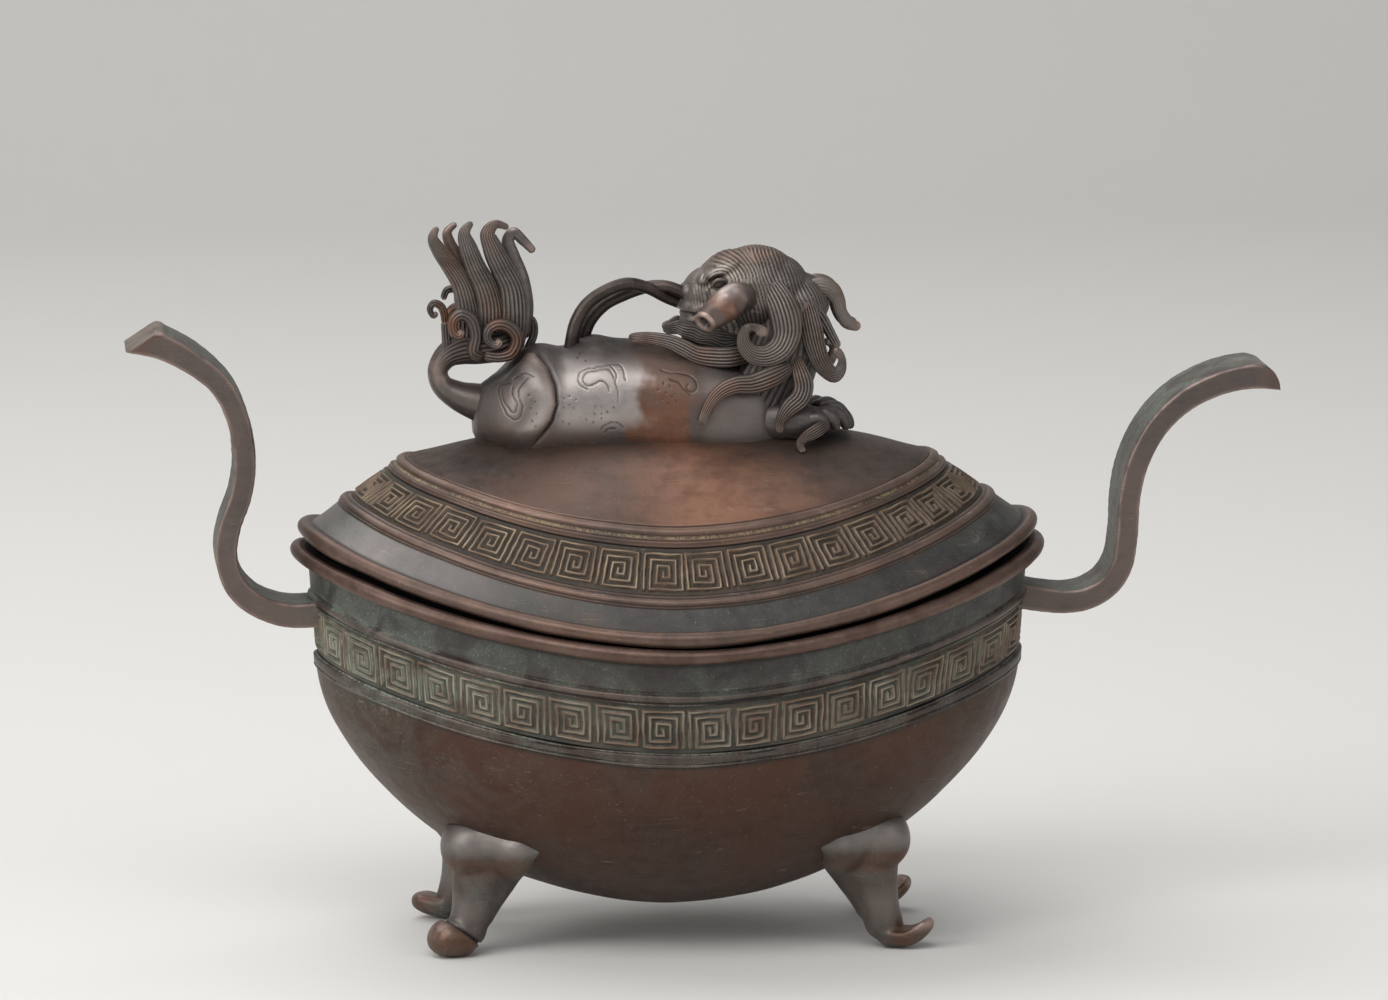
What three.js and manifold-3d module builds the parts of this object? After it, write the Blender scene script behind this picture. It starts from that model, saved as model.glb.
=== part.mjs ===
// A lidded bronze incense burner: an oval bowl on four feet with two tall strap handles,
// and a domed lid with a resting lion on it.
// Millimetres, +Z up. The long side of the oval lies along X and the front looks to -Y.

import * as THREE from "three";
import { mergeVertices } from "three/addons/utils/BufferGeometryUtils.js";
import Module from "manifold-3d";

const wasm = await Module();
wasm.setup();

// The gap that seated pieces keep
const SEAM = 0.3;

// Bowl
const BOWL_HALF_LENGTH = 97;
const BOWL_HALF_DEPTH = 60;
const BOWL_WALL = 2.8;
const BOWL_UNDERSIDE = 10;
const BELLY_HEIGHT = 48;
const BELLY_FULLNESS = 0.63;
const BAND_HEIGHT = 19.4;
const NECK_HEIGHT = 11.5;
const NECK_FLARE = 2.4;
const FILLET_HEIGHT = 2.4;
const FILLET_PROUD = 0.9;
const BOWL_FRET_UNITS = 40;

// How far the floor of the fret bands lies below the tops of their lines
const FRET_SINK = 0.65;

// How much higher the rim is at its two ends than at its middle, and how much of that the
// fret band's foot follows
const BOWL_SADDLE = 20.4;
const BAND_SADDLE_SHARE = 0.93;
const SADDLE_SHARPNESS = 1.8;

// Rolled rims
const ROLL_RADIUS = 2.1;
const ROLL_PROUD = 2.6;

// Lid
const LID_RISE = 48.6;
const LID_WALL = 2.8;
const LID_GAP_AT_ENDS = 1.8;
const LID_INSET_LENGTH = 2;
const LID_INSET_DEPTH = 1.4;
const LID_FILLET_WIDTH = 2.2;
const LID_FRET_UNITS = 36;
const FLANGE_DEPTH = 6;
const FLANGE_WALL = 2.2;
const FLANGE_CLEARANCE = 1.2;
const VENT_RADIUS = 6;

// Handles
const LEFT_STRAP_RISE = 80.6;
const RIGHT_STRAP_RISE = 66.2;
const STRAP_SEAT_DROP = 20.4;
const STRAP_THICKNESS = 5.8;
const STRAP_ROOT_WIDTH = 17.6;
const STRAP_TIP_WIDTH = 25.6;
const STRAP_END_SWELL = 0.25;
const TENON_RADIUS = 3;
const TENON_INSIDE = 1.5;

// Feet
const FOOT_ANGLE = 0.39;
const FOOT_REACH = 59.5;
const KNEE_RADIUS = 10.5;
const FLARE_TURN = 0.4;
const FLARE_CLIMB = 0.05;
const FLARE_ROOT = 0.9;
const FLARE_TIP = 0.15;
const SHANK_RADIUS = 5.6;
const SOLE_RADIUS = 7;
const TOE_REACH = 15;
const TOE_HEIGHT = 9.5;

// Lion
const LION_BODY_LENGTH = 86;
const LION_WIDTH = 36;
const LION_WALL = 4;
const RIBBON_RADIUS = 1.9;

// How finely round forms are divided
const OVAL_DIVISIONS = 2000;
const BAR_SIDES = 8;
const ROUND_SIDES = 16;

// How boxy the section of a strap is: 1 is an oval, and less is boxier
const STRAP_SQUARENESS = 0.55;

const BRONZE_DARK = 0x3a3230;
const BRONZE_BELLY = 0x3d2a22;
const BRONZE_LID = 0x4a352b;
const BRONZE_LION = 0x4a4340;

// Fret: the line of one unit winds in from its foot, drawn in steps, on a field with bare
// floor beside, below and above the line.
const FRET_LINE = [
  [0, 0], [0, 6], [6, 6], [6, 0], [1.5, 0], [1.5, 4.5], [4.5, 4.5], [4.5, 1.5], [3, 1.5], [3, 3],
];
const FRET_SIZE = 6;
const FRET_LINE_WIDTH = 0.65;
const FRET_BESIDE = 0.5;
const FRET_BELOW = 1.6;
const FRET_ABOVE = 1;
const FIELD = [[0, 0], [1, 0], [1, 1], [0, 1]].map(([x, y]) => new THREE.Vector2(x, y));

// One edge of a unit's line, as shares of the field's width and height.
function fretEdge(toSide) {
  const corners = FRET_LINE.map(([x, y]) => new THREE.Vector2(x, y));
  const runs = corners.slice(1).map((corner, i) => corner.clone().sub(corners[i]).normalize());
  return corners.map((corner, i) => {
    const before = runs[Math.max(i - 1, 0)];
    const after = runs[Math.min(i, runs.length - 1)];
    const reach = (toSide * FRET_LINE_WIDTH) / 2 / (1 + before.dot(after));
    const x = corner.x + (before.y + after.y) * reach;
    const y = corner.y - (before.x + after.x) * reach;
    return new THREE.Vector2(
      (x + FRET_BESIDE) / (FRET_SIZE + 2 * FRET_BESIDE),
      (y + FRET_BELOW) / (FRET_SIZE + FRET_BELOW + FRET_ABOVE),
    );
  });
}

const fretOutline = [...fretEdge(1), ...fretEdge(-1).reverse()];

// The triangles of a flat outline and its hole, all wound to the left.
function leftWound(outline, holes) {
  const places = [outline, ...holes].flat();
  return THREE.ShapeUtils.triangulateShape(outline, holes).map(([a, b, c]) => {
    const area = THREE.ShapeUtils.area([places[a], places[b], places[c]]);
    return area > 0 ? [a, b, c] : [a, c, b];
  });
}

// The point on a panel between four corners, at shares of its width and height.
function onPanel([lowLeft, lowRight, highRight, highLeft], { x, y }) {
  const low = lowLeft.clone().lerp(lowRight, x);
  const high = highLeft.clone().lerp(highRight, x);
  return low.lerp(high, y);
}

// Adds one unit of the fret between four corners of a skin: the sunk floor, the sides of the
// line, and the line's top, which lies on the panel given.
function addFretUnit(points, faces, corners, top) {
  const floor = corners.map((corner) => points[corner]);
  const start = points.length;
  const count = fretOutline.length;
  points.push(...fretOutline.map((place) => onPanel(floor, place)));
  points.push(...fretOutline.map((place) => onPanel(top, place)));
  const floorPoints = [...corners, ...fretOutline.map((_, i) => start + i)];
  for (const face of leftWound(FIELD, [fretOutline])) {
    faces.push(face.map((i) => floorPoints[i]));
  }
  for (const face of leftWound(fretOutline, [])) {
    faces.push(face.map((i) => start + count + i));
  }
  for (let i = 0; i < count; i += 1) {
    const a = start + i;
    const b = start + ((i + 1) % count);
    faces.push([a, b, b + count], [a, b + count, a + count]);
  }
}

// Closed skins

function signedVolume(points, faces) {
  let volume = 0;
  for (const [a, b, c] of faces) {
    volume += points[a].dot(new THREE.Vector3().crossVectors(points[b], points[c])) / 6;
  }
  return volume;
}

// Skins rings of equal count into one closed body, with a fan over each end. Above one ring
// there can be a fret, whose lines reach up to its low and high rings.
function skin(rings, fret) {
  const count = rings[0].length;
  const points = rings.flat();
  const faces = [];
  for (let ring = 0; ring + 1 < rings.length; ring += 1) {
    for (let i = 0; i < count; i += 1) {
      const a = ring * count + i;
      const next = (i + 1) % count;
      const b = ring * count + next;
      if (fret && fret.ring === ring) {
        const top = [fret.low[i], fret.low[next], fret.high[next], fret.high[i]];
        addFretUnit(points, faces, [a, b, b + count, a + count], top);
      } else {
        faces.push([a, b, b + count], [a, b + count, a + count]);
      }
    }
  }
  const ends = [
    [0, 1],
    [(rings.length - 1) * count, 0],
  ];
  for (const [start, reversed] of ends) {
    const centre = new THREE.Vector3();
    for (let i = 0; i < count; i += 1) {
      centre.addScaledVector(points[start + i], 1 / count);
    }
    points.push(centre);
    for (let i = 0; i < count; i += 1) {
      const a = start + i;
      const b = start + ((i + 1) % count);
      faces.push(reversed ? [b, a, points.length - 1] : [a, b, points.length - 1]);
    }
  }
  const outward = signedVolume(points, faces) > 0;
  const geometry = new THREE.BufferGeometry();
  geometry.setAttribute(
    "position",
    new THREE.Float32BufferAttribute(points.flatMap((p) => [p.x, p.y, p.z]), 3),
  );
  geometry.setIndex(faces.flatMap(([a, b, c]) => (outward ? [a, b, c] : [a, c, b])));
  return geometry;
}

function solidOf(geometry) {
  const bare = geometry.clone();
  bare.deleteAttribute("normal");
  bare.deleteAttribute("uv");
  const merged = mergeVertices(bare, 1e-4);
  return new wasm.Manifold(
    new wasm.Mesh({
      numProp: 3,
      vertProperties: new Float32Array(merged.attributes.position.array),
      triVerts: new Uint32Array(merged.index.array),
    }),
  );
}

function geometryOf(solid) {
  const mesh = solid.getMesh();
  const geometry = new THREE.BufferGeometry();
  const positions = new Float32Array(mesh.vertProperties);
  geometry.setAttribute("position", new THREE.BufferAttribute(positions, 3));
  geometry.setIndex(new THREE.BufferAttribute(new Uint32Array(mesh.triVerts), 1));
  geometry.computeVertexNormals();
  return geometry;
}

// A cut can leave crumbs beside the piece, so the largest body is the piece.
function largestBody(solid) {
  const bodies = solid.decompose();
  bodies.sort((one, other) => other.volume() - one.volume());
  return bodies[0];
}

// Ovals that rise towards the two ends

function saddle(angle) {
  return Math.abs(Math.cos(angle)) ** SADDLE_SHARPNESS;
}

// The angles of points that lie at even steps round the oval.
function evenAngles(count) {
  const oval = new THREE.EllipseCurve(0, 0, BOWL_HALF_LENGTH, BOWL_HALF_DEPTH);
  oval.arcLengthDivisions = OVAL_DIVISIONS;
  const points = oval.getSpacedPoints(count).slice(0, count);
  return points.map(({ x, y }) => Math.atan2(y / BOWL_HALF_DEPTH, x / BOWL_HALF_LENGTH));
}

function ovalRing({ length, depth, height, lift }, angles) {
  return angles.map(
    (angle) =>
      new THREE.Vector3(
        length * Math.cos(angle),
        depth * Math.sin(angle),
        height + lift * saddle(angle),
      ),
  );
}

// Skins oval stations. One that has a fret starts a band with a unit of it at every step.
function ovalSolid(stations, angles) {
  const rings = stations.map((station) => ovalRing(station, angles));
  const ring = stations.findIndex((station) => station.fret);
  if (ring < 0) {
    return solidOf(skin(rings));
  }
  const [low, high] = stations[ring].fret.map((station) => ovalRing(station, angles));
  return solidOf(skin(rings, { ring, low, high }));
}

// The sunk floor of a fret band between two places, where stationAt gives the station at a
// place that stands proud by so much. The lines' tops lie in the surface itself.
function fretBand(stationAt, low, high) {
  const fret = [stationAt(low, 0), stationAt(high, 0)];
  return [{ ...stationAt(low, -FRET_SINK), fret }, stationAt(high, -FRET_SINK)];
}

// Bowl

const bandFoot = BOWL_UNDERSIDE + BELLY_HEIGHT;
const bandTop = bandFoot + BAND_HEIGHT;
const bowlRim = bandTop + NECK_HEIGHT;
const bandLift = BOWL_SADDLE * BAND_SADDLE_SHARE;
const lowerFillet = bandFoot + SEAM;
const upperFillet = bandTop - FILLET_HEIGHT;
const bowlAngles = evenAngles(BOWL_FRET_UNITS);
const BELLY_STEPS = [0.03, 0.25, 0.42, 0.57, 0.7, 0.8, 0.88, 0.94, 0.98, 1];

function bellyClimb(share) {
  return 1 - (1 - share ** 2) ** BELLY_FULLNESS;
}

// One station on the outside of the bowl, pushed out by proud.
function bellyStation(share, proud) {
  return {
    length: (BOWL_HALF_LENGTH + proud) * share,
    depth: (BOWL_HALF_DEPTH + proud) * share,
    height: BOWL_UNDERSIDE - proud + (BELLY_HEIGHT + proud) * bellyClimb(share),
    lift: bandLift * bellyClimb(share),
  };
}

// The point on the outside of the belly at a share of its size and an angle round the oval.
function bellyPoint(share, angle) {
  const station = bellyStation(share, 0);
  return new THREE.Vector3(
    station.length * Math.cos(angle),
    station.depth * Math.sin(angle),
    station.height + station.lift * saddle(angle),
  );
}

function neckStation(height, proud) {
  const climb = (height - bandFoot) / (bowlRim - bandFoot);
  return {
    length: BOWL_HALF_LENGTH + NECK_FLARE * climb + proud,
    depth: BOWL_HALF_DEPTH + NECK_FLARE * climb + proud,
    height,
    lift: bandLift + (BOWL_SADDLE - bandLift) * climb,
  };
}

// A flat raised fillet round the outside, with its lower edge at height.
function filletStations(height, proud) {
  return [
    neckStation(height, proud),
    neckStation(height, proud + FILLET_PROUD),
    neckStation(height + FILLET_HEIGHT, proud + FILLET_PROUD),
    neckStation(height + FILLET_HEIGHT, proud),
  ];
}

// The round of the rolled rim, from its outer root over the top to its inner root.
function bowlRollStations(proud) {
  const turns = [-0.6, -0.2, 0.2, 0.6, 1.0];
  return turns.map((turn) => {
    const angle = (turn * Math.PI) / 2;
    const radius = ROLL_RADIUS + proud;
    const station = neckStation(bowlRim, ROLL_PROUD + radius * Math.cos(angle));
    return { ...station, height: bowlRim + radius * Math.sin(angle) };
  });
}

function bowlOutside(proud, band) {
  return [
    ...BELLY_STEPS.map((share) => bellyStation(share, proud)),
    ...filletStations(lowerFillet, proud),
    ...band,
    ...filletStations(upperFillet, proud),
    neckStation(bowlRim - ROLL_RADIUS, proud),
    ...bowlRollStations(proud),
  ];
}

function bowlInside() {
  const wall = -BOWL_WALL;
  return [
    neckStation(bowlRim + ROLL_RADIUS * 0.6, wall),
    neckStation(bandTop, wall),
    neckStation(bandFoot, wall),
    ...[...BELLY_STEPS].reverse().map((share) => bellyStation(share, wall)).slice(1),
  ];
}

function bowlSolid() {
  const band = fretBand(neckStation, lowerFillet + FILLET_HEIGHT, upperFillet);
  return ovalSolid([...bowlOutside(0, band), ...bowlInside()], bowlAngles);
}

function bowlFilled() {
  return ovalSolid(bowlOutside(SEAM, []), bowlAngles);
}

// Lid: share of the half size, share of the rise, share of the saddle

const LID_SHAPE = [
  [0.95, 0.075, 0.98],
  [0.9, 0.16, 0.955],
  [0.81, 0.37, 0.78],
  [0.72, 0.576, 0.58],
  [0.66, 0.65, 0.494],
  [0.55, 0.761, 0.386],
  [0.42, 0.865, 0.24],
  [0.28, 0.945, 0.105],
  [0.14, 0.985, 0.03],
  [0.02, 1, 0],
];

// Which way the lid's surface faces, on average, for what stands proud of it
const SLOPE_OUT = 0.6;
const SLOPE_UP = 0.7;

const lidRim = bowlRim + 2 * ROLL_RADIUS + SEAM;
const lidSaddle = BOWL_SADDLE + LID_GAP_AT_ENDS;
const lidHalfLength = BOWL_HALF_LENGTH + NECK_FLARE + ROLL_PROUD - LID_INSET_LENGTH;
const lidHalfDepth = BOWL_HALF_DEPTH + NECK_FLARE + ROLL_PROUD - LID_INSET_DEPTH;
const lidFilletShare = LID_FILLET_WIDTH / lidHalfLength;
const lidAngles = evenAngles(LID_FRET_UNITS);
const LOWER_FILLET_SHARE = 0.905;
const FRET_TOP_SHARE = 0.768;
const UPPER_FILLET_SHARE = 0.74;

function lidStation([share, climb, lift], proud) {
  return {
    length: lidHalfLength * share + proud * SLOPE_OUT,
    depth: lidHalfDepth * share + proud * SLOPE_OUT,
    height: lidRim + LID_RISE * climb + proud * SLOPE_UP,
    lift: lidSaddle * lift,
  };
}

function lidShapeAt(share) {
  const upper = LID_SHAPE.findIndex((station) => station[0] <= share);
  const [from, to] = [LID_SHAPE[upper - 1], LID_SHAPE[upper]];
  const blend = (share - from[0]) / (to[0] - from[0]);
  return from.map((value, i) => value + (to[i] - value) * blend);
}

// A raised fillet round the lid, from its lower edge at share.
function lidFilletStations(share, proud) {
  const [low, high] = [share, share - lidFilletShare].map(lidShapeAt);
  return [
    lidStation(low, proud),
    lidStation(low, proud + FILLET_PROUD),
    lidStation(high, proud + FILLET_PROUD),
    lidStation(high, proud),
  ];
}

function lidRollStations(proud) {
  const turns = [-1.0, -0.5, 0, 0.4, 0.8];
  return turns.map((turn) => {
    const angle = (turn * Math.PI) / 2;
    const radius = ROLL_RADIUS + proud;
    return {
      length: lidHalfLength + radius * Math.cos(angle),
      depth: lidHalfDepth + radius * Math.cos(angle),
      height: lidRim + radius * Math.sin(angle),
      lift: lidSaddle,
    };
  });
}

function lidOutside(proud, band) {
  const between = (from, to) =>
    LID_SHAPE.filter(([share]) => share < from && share > to).map((s) => lidStation(s, proud));
  return [
    ...lidRollStations(proud),
    ...between(1, LOWER_FILLET_SHARE),
    ...lidFilletStations(LOWER_FILLET_SHARE, proud),
    ...band,
    lidStation(lidShapeAt(FRET_TOP_SHARE), proud),
    ...lidFilletStations(UPPER_FILLET_SHARE, proud),
    ...between(UPPER_FILLET_SHARE - lidFilletShare, 0),
  ];
}

// The flange under the lid hangs just inside the bowl's mouth.
function flangeStations() {
  const outer = neckStation(bowlRim, -BOWL_WALL - FLANGE_CLEARANCE);
  const inner = neckStation(bowlRim, -BOWL_WALL - FLANGE_CLEARANCE - FLANGE_WALL);
  const low = bowlRim - FLANGE_DEPTH;
  return [
    { ...inner, height: lidRim + ROLL_RADIUS, lift: lidSaddle },
    { ...inner, height: low },
    { ...outer, height: low },
    { ...outer, height: lidRim - ROLL_RADIUS / 2, lift: lidSaddle },
  ];
}

// The round hole through the crown of the lid, centred on a height.
function vent(height, length) {
  const hole = new THREE.CylinderGeometry(VENT_RADIUS, VENT_RADIUS, length, ROUND_SIDES);
  hole.rotateX(Math.PI / 2);
  hole.translate(0, 0, height);
  return solidOf(hole);
}

function lidSolid() {
  const fretFoot = LOWER_FILLET_SHARE - lidFilletShare;
  const inside = LID_SHAPE.filter(([share]) => share < fretFoot);
  const stationAt = (share, proud) => lidStation(lidShapeAt(share), proud);
  const stations = [
    ...inside.reverse().map((station) => lidStation(station, -LID_WALL)),
    ...flangeStations(),
    ...lidOutside(0, fretBand(stationAt, fretFoot, FRET_TOP_SHARE)),
  ];
  return ovalSolid(stations, lidAngles).subtract(vent(lidRim + LID_RISE, LID_RISE));
}

function lidFilled() {
  const closed = lidOutside(SEAM, []);
  return ovalSolid([{ ...closed[0], length: 1, depth: 1 }, ...closed], lidAngles);
}

// Bars swept along a smooth curve

// A station is [x, y, z, half width, half thickness]. The width lies as near as it can
// to the side direction, and grow pushes the whole skin out.
function barGeometry(stations, options) {
  const { side = [0, 1, 0], sides = BAR_SIDES, steps, squareness = 1, grow = 0 } = options;
  const points = stations.map(([x, y, z]) => new THREE.Vector3(x, y, z));
  const reaches = stations.map((station) => new THREE.Vector3(station[3], station[4], 0));
  const path = new THREE.CatmullRomCurve3(points);
  const size = new THREE.CatmullRomCurve3(reaches);
  const soften = (value) => Math.sign(value) * Math.abs(value) ** squareness;
  const rings = [];
  for (let step = 0; step <= steps; step += 1) {
    const share = step / steps;
    const along = path.getTangent(share);
    const across = new THREE.Vector3(...side);
    across.addScaledVector(along, -along.dot(across)).normalize();
    const up = new THREE.Vector3().crossVectors(along, across);
    const reach = size.getPoint(share);
    const atEnd = (step === steps) - (step === 0);
    const centre = path.getPoint(share).addScaledVector(along, grow * atEnd);
    rings.push(
      Array.from({ length: sides }, (_, i) => {
        const angle = ((i + 0.5) / sides) * 2 * Math.PI;
        return centre
          .clone()
          .addScaledVector(across, (reach.x + grow) * soften(Math.cos(angle)))
          .addScaledVector(up, (reach.y + grow) * soften(Math.sin(angle)));
      }),
    );
  }
  return skin(rings);
}

function bar(stations, options) {
  return solidOf(barGeometry(stations, options));
}

// Handles

// The middle line of each strap from inside the wall, as [reach past the wall, height above
// the seat]
const LEFT_STRAP = [
  [-4, 3.7], [6, 3.5], [12, 5], [17.5, 8], [21.8, 13], [23.6, 20], [22.5, 28], [19.5, 37],
  [18.3, 47], [19.7, 57], [24, 66], [31, 73], [40, 78.3], [49.5, 80.6],
];
const RIGHT_STRAP = [
  [-4, 6.2], [5.5, 4.5], [12, 4], [18, 5.1], [23.5, 8.5], [26.8, 14], [28, 22], [28.5, 32],
  [31, 43], [36, 52.5], [44, 60], [54, 64.8], [63, 66.5], [70, 66.2],
];
const wallAtEnds = BOWL_HALF_LENGTH + NECK_FLARE / 2;
const strapSeat = bowlRim + BOWL_SADDLE - STRAP_SEAT_DROP;

// Stretches a strap's line so that its tip rises by rise, and places it at one end.
function strapLine(shape, rise, toSide) {
  const stretch = rise / shape.at(-1)[1];
  return shape.map(([reach, height]) => [
    toSide * (wallAtEnds + reach * stretch),
    strapSeat + height * stretch,
  ]);
}

// The peg that holds a strap in the wall, with its radius grown for its hole.
function tenon([, [, height]], toSide, clearance) {
  const radius = TENON_RADIUS + clearance;
  const from = wallAtEnds - BOWL_WALL - TENON_INSIDE - clearance;
  const to = wallAtEnds + TENON_RADIUS + clearance;
  const ends = [from, to].map((reach) => [toSide * reach, 0, height, radius, radius]);
  return bar(ends, { steps: 2, sides: 12 });
}

function handleSolid(line, toSide, filledBowl) {
  const stations = line.map(([x, height], i) => {
    const along = i / (line.length - 1);
    const width = STRAP_ROOT_WIDTH + (STRAP_TIP_WIDTH - STRAP_ROOT_WIDTH) * along;
    const swell = 1 + STRAP_END_SWELL * Math.abs(2 * along - 1) ** 3;
    return [x, 0, height, width / 2, (STRAP_THICKNESS * swell) / 2];
  });
  const strap = bar(stations, { steps: 26, sides: 12, squareness: STRAP_SQUARENESS });
  return largestBody(strap.subtract(filledBowl)).add(tenon(line, toSide, 0));
}

// Feet

// A foot stands out from the middle of the bowl at FOOT_ANGLE. Its knee lies against the
// belly and runs out along it in a point, towards the middle of the long side.
function footSolid(toX, toY, filledBowl) {
  const outward = new THREE.Vector3(toX * Math.cos(FOOT_ANGLE), toY * Math.sin(FOOT_ANGLE), 0);
  const side = [-outward.y, outward.x, 0];
  const at = (reach, height, width, thickness) => [
    outward.x * (FOOT_REACH + reach),
    outward.y * (FOOT_REACH + reach),
    height,
    width,
    thickness,
  ];
  const seatX = (Math.cos(FOOT_ANGLE) * FOOT_REACH) / BOWL_HALF_LENGTH;
  const seatY = (Math.sin(FOOT_ANGLE) * FOOT_REACH) / BOWL_HALF_DEPTH;
  const seatShare = Math.hypot(seatX, seatY);
  const seatAngle = Math.atan2(seatY, seatX);
  const knee = bellyPoint(seatShare, seatAngle).z + SEAM;
  const shankFrom = knee - KNEE_RADIUS * 1.5;
  const leg = bar(
    [
      at(-8, knee + KNEE_RADIUS, KNEE_RADIUS * 0.8, KNEE_RADIUS * 0.8),
      at(-2.5, knee, KNEE_RADIUS, KNEE_RADIUS),
      at(0, knee - KNEE_RADIUS, SHANK_RADIUS * 1.2, SHANK_RADIUS * 1.15),
      at(0.5, shankFrom, SHANK_RADIUS, SHANK_RADIUS * 0.9),
      at(2.5, SOLE_RADIUS, SHANK_RADIUS * 1.1, SHANK_RADIUS),
      at(5, -SOLE_RADIUS / 2, SOLE_RADIUS, SOLE_RADIUS),
    ],
    { side, steps: 12 },
  );
  const toe = bar(
    [
      at(2, SOLE_RADIUS / 3, SOLE_RADIUS * 0.9, SOLE_RADIUS * 0.7),
      at(TOE_REACH * 0.6, SOLE_RADIUS / 3, SOLE_RADIUS * 0.85, SOLE_RADIUS * 0.5),
      at(TOE_REACH * 0.9, SOLE_RADIUS * 0.6, SOLE_RADIUS * 0.6, SOLE_RADIUS * 0.35),
      at(TOE_REACH * 1.08, TOE_HEIGHT - 1, SOLE_RADIUS * 0.25, SOLE_RADIUS * 0.2),
    ],
    { side, steps: 8 },
  );
  const flare = bar(
    [0, 0.4, 0.75, 1].map((along) => {
      const point = bellyPoint(seatShare + FLARE_CLIMB * along, seatAngle + FLARE_TURN * along);
      const radius = KNEE_RADIUS * (FLARE_ROOT + (FLARE_TIP - FLARE_ROOT) * along);
      return [toX * point.x, toY * point.y, point.z, radius, radius];
    }),
    { side: [0, 0, 1], steps: 6 },
  );
  const ground = new THREE.BoxGeometry(FOOT_REACH, FOOT_REACH, FOOT_REACH);
  ground.translate(outward.x * FOOT_REACH, outward.y * FOOT_REACH, -FOOT_REACH / 2);
  const whole = leg.add(toe).add(flare);
  return largestBody(whole.subtract(solidOf(ground)).subtract(filledBowl));
}

// Lion

// A station is [x, y, height above the crown, half width, half thickness], as drawn. A
// route has only its first three numbers, and its thickness is given with its name.
const TORSO = [
  [-57, 0, 2.5, 6, 4.5],
  [-51, 0, 3.2, 12, 8],
  [-44, 0, 3.5, 16, 13],
  [-36, 0, 4.5, 18, 16.3],
  [-27, 0, 5.2, 17.5, 17],
  [-19, 0, 6.2, 17.6, 18],
  [-8, 0, 5.8, 18, 17.4],
  [6, 0, 5, 18, 16.2],
  [18, 0, 4, 16.6, 15],
  [29, 0, 2, 12, 11],
];
const NECK = [
  [24, 0, 0, 14, 13],
  [27, 0, 9, 14.4, 13.5],
  [32, 0, 20, 14.4, 11.5],
  [34, 0, 30, 13, 9.5],
  [33, 0, 38, 10.8, 8],
];
const HEAD = [
  [3.2, 0, 35.5, 5.4, 5],
  [7, 0, 36, 9, 8.5],
  [13, 0, 36.8, 12, 10.8],
  [20, 0, 37.4, 14, 12.4],
  [27, 0, 37.4, 14, 12.2],
  [34, 0, 36, 12, 9.5],
  [39, 0, 34, 8, 6],
];
const FORELEG = [
  [16, -9, 2, 6, 7],
  [27, -10, 1.5, 6, 6.5],
  [37, -9.5, 0.8, 5.6, 5],
  [45, -9, 1.2, 6.6, 4.6],
  [51.5, -9, 0, 5, 3.2],
];
const TAIL_ROOT = [
  [-52, 0, 5, 5, 4],
  [-59.5, 0, 8.2, 4.6, 3.6],
  [-63, 0, 13, 4.2, 3.2],
  [-61.8, 0, 18.6, 4.4, 3.4],
  [-56, 0, 22.6, 5.5, 4.6],
  [-48, 0, 23.4, 6, 4.8],
  [-40, 0, 22.6, 5.5, 4],
];
const PLUME_LOCKS = [
  [
    [-51, -0.5, 25], [-54.8, -0.5, 31], [-56.2, -0.5, 37.2], [-59.7, -0.5, 43.5],
    [-63.4, -0.5, 49], [-63, -0.5, 54.6],
  ],
  [
    [-47, -1, 25], [-47.4, -1, 29.2], [-48.7, -1, 35.4], [-51.3, -1, 41.7], [-54.8, -1, 48],
    [-55.7, -1, 54.2], [-53, -1, 57.2],
  ],
  [
    [-41.5, -0.5, 25], [-40.8, -0.5, 30], [-41.7, -0.5, 38], [-45.7, -0.5, 45.2],
    [-49, -0.5, 51.2], [-47.4, -0.5, 55.2], [-43.4, -0.5, 55.6],
  ],
  [[-54, 4, 25], [-56, 4, 34], [-57.6, 4, 43], [-59.6, 4, 50], [-58.4, 4, 55.6]],
  [
    [-39.5, 3, 25], [-38.6, 3, 33], [-39.4, 3, 41], [-42, 3, 47], [-43, 3, 53],
    [-40, 3, 52.4], [-36.9, 3, 48.6],
  ],
];
const CURL_STEM = [[-61.4, -2.5, 20.5], [-61, -2.5, 26], [-61.8, -2.5, 31]];
const EAR = [
  [22, -12.6, 38.5, 3, 3.4],
  [19, -14, 37.5, 3.4, 4.3],
  [14.5, -14.4, 33, 3.4, 4.2],
  [11, -13.9, 29.2, 3, 3.5],
];
const BEARD = [
  [15, 0, 25.2, 8.1, 3],
  [7, 0, 26.2, 7.9, 3],
  [1, 0, 27.2, 5.4, 2],
  [-2.5, 0, 27.6, 2.5, 1],
];
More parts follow.
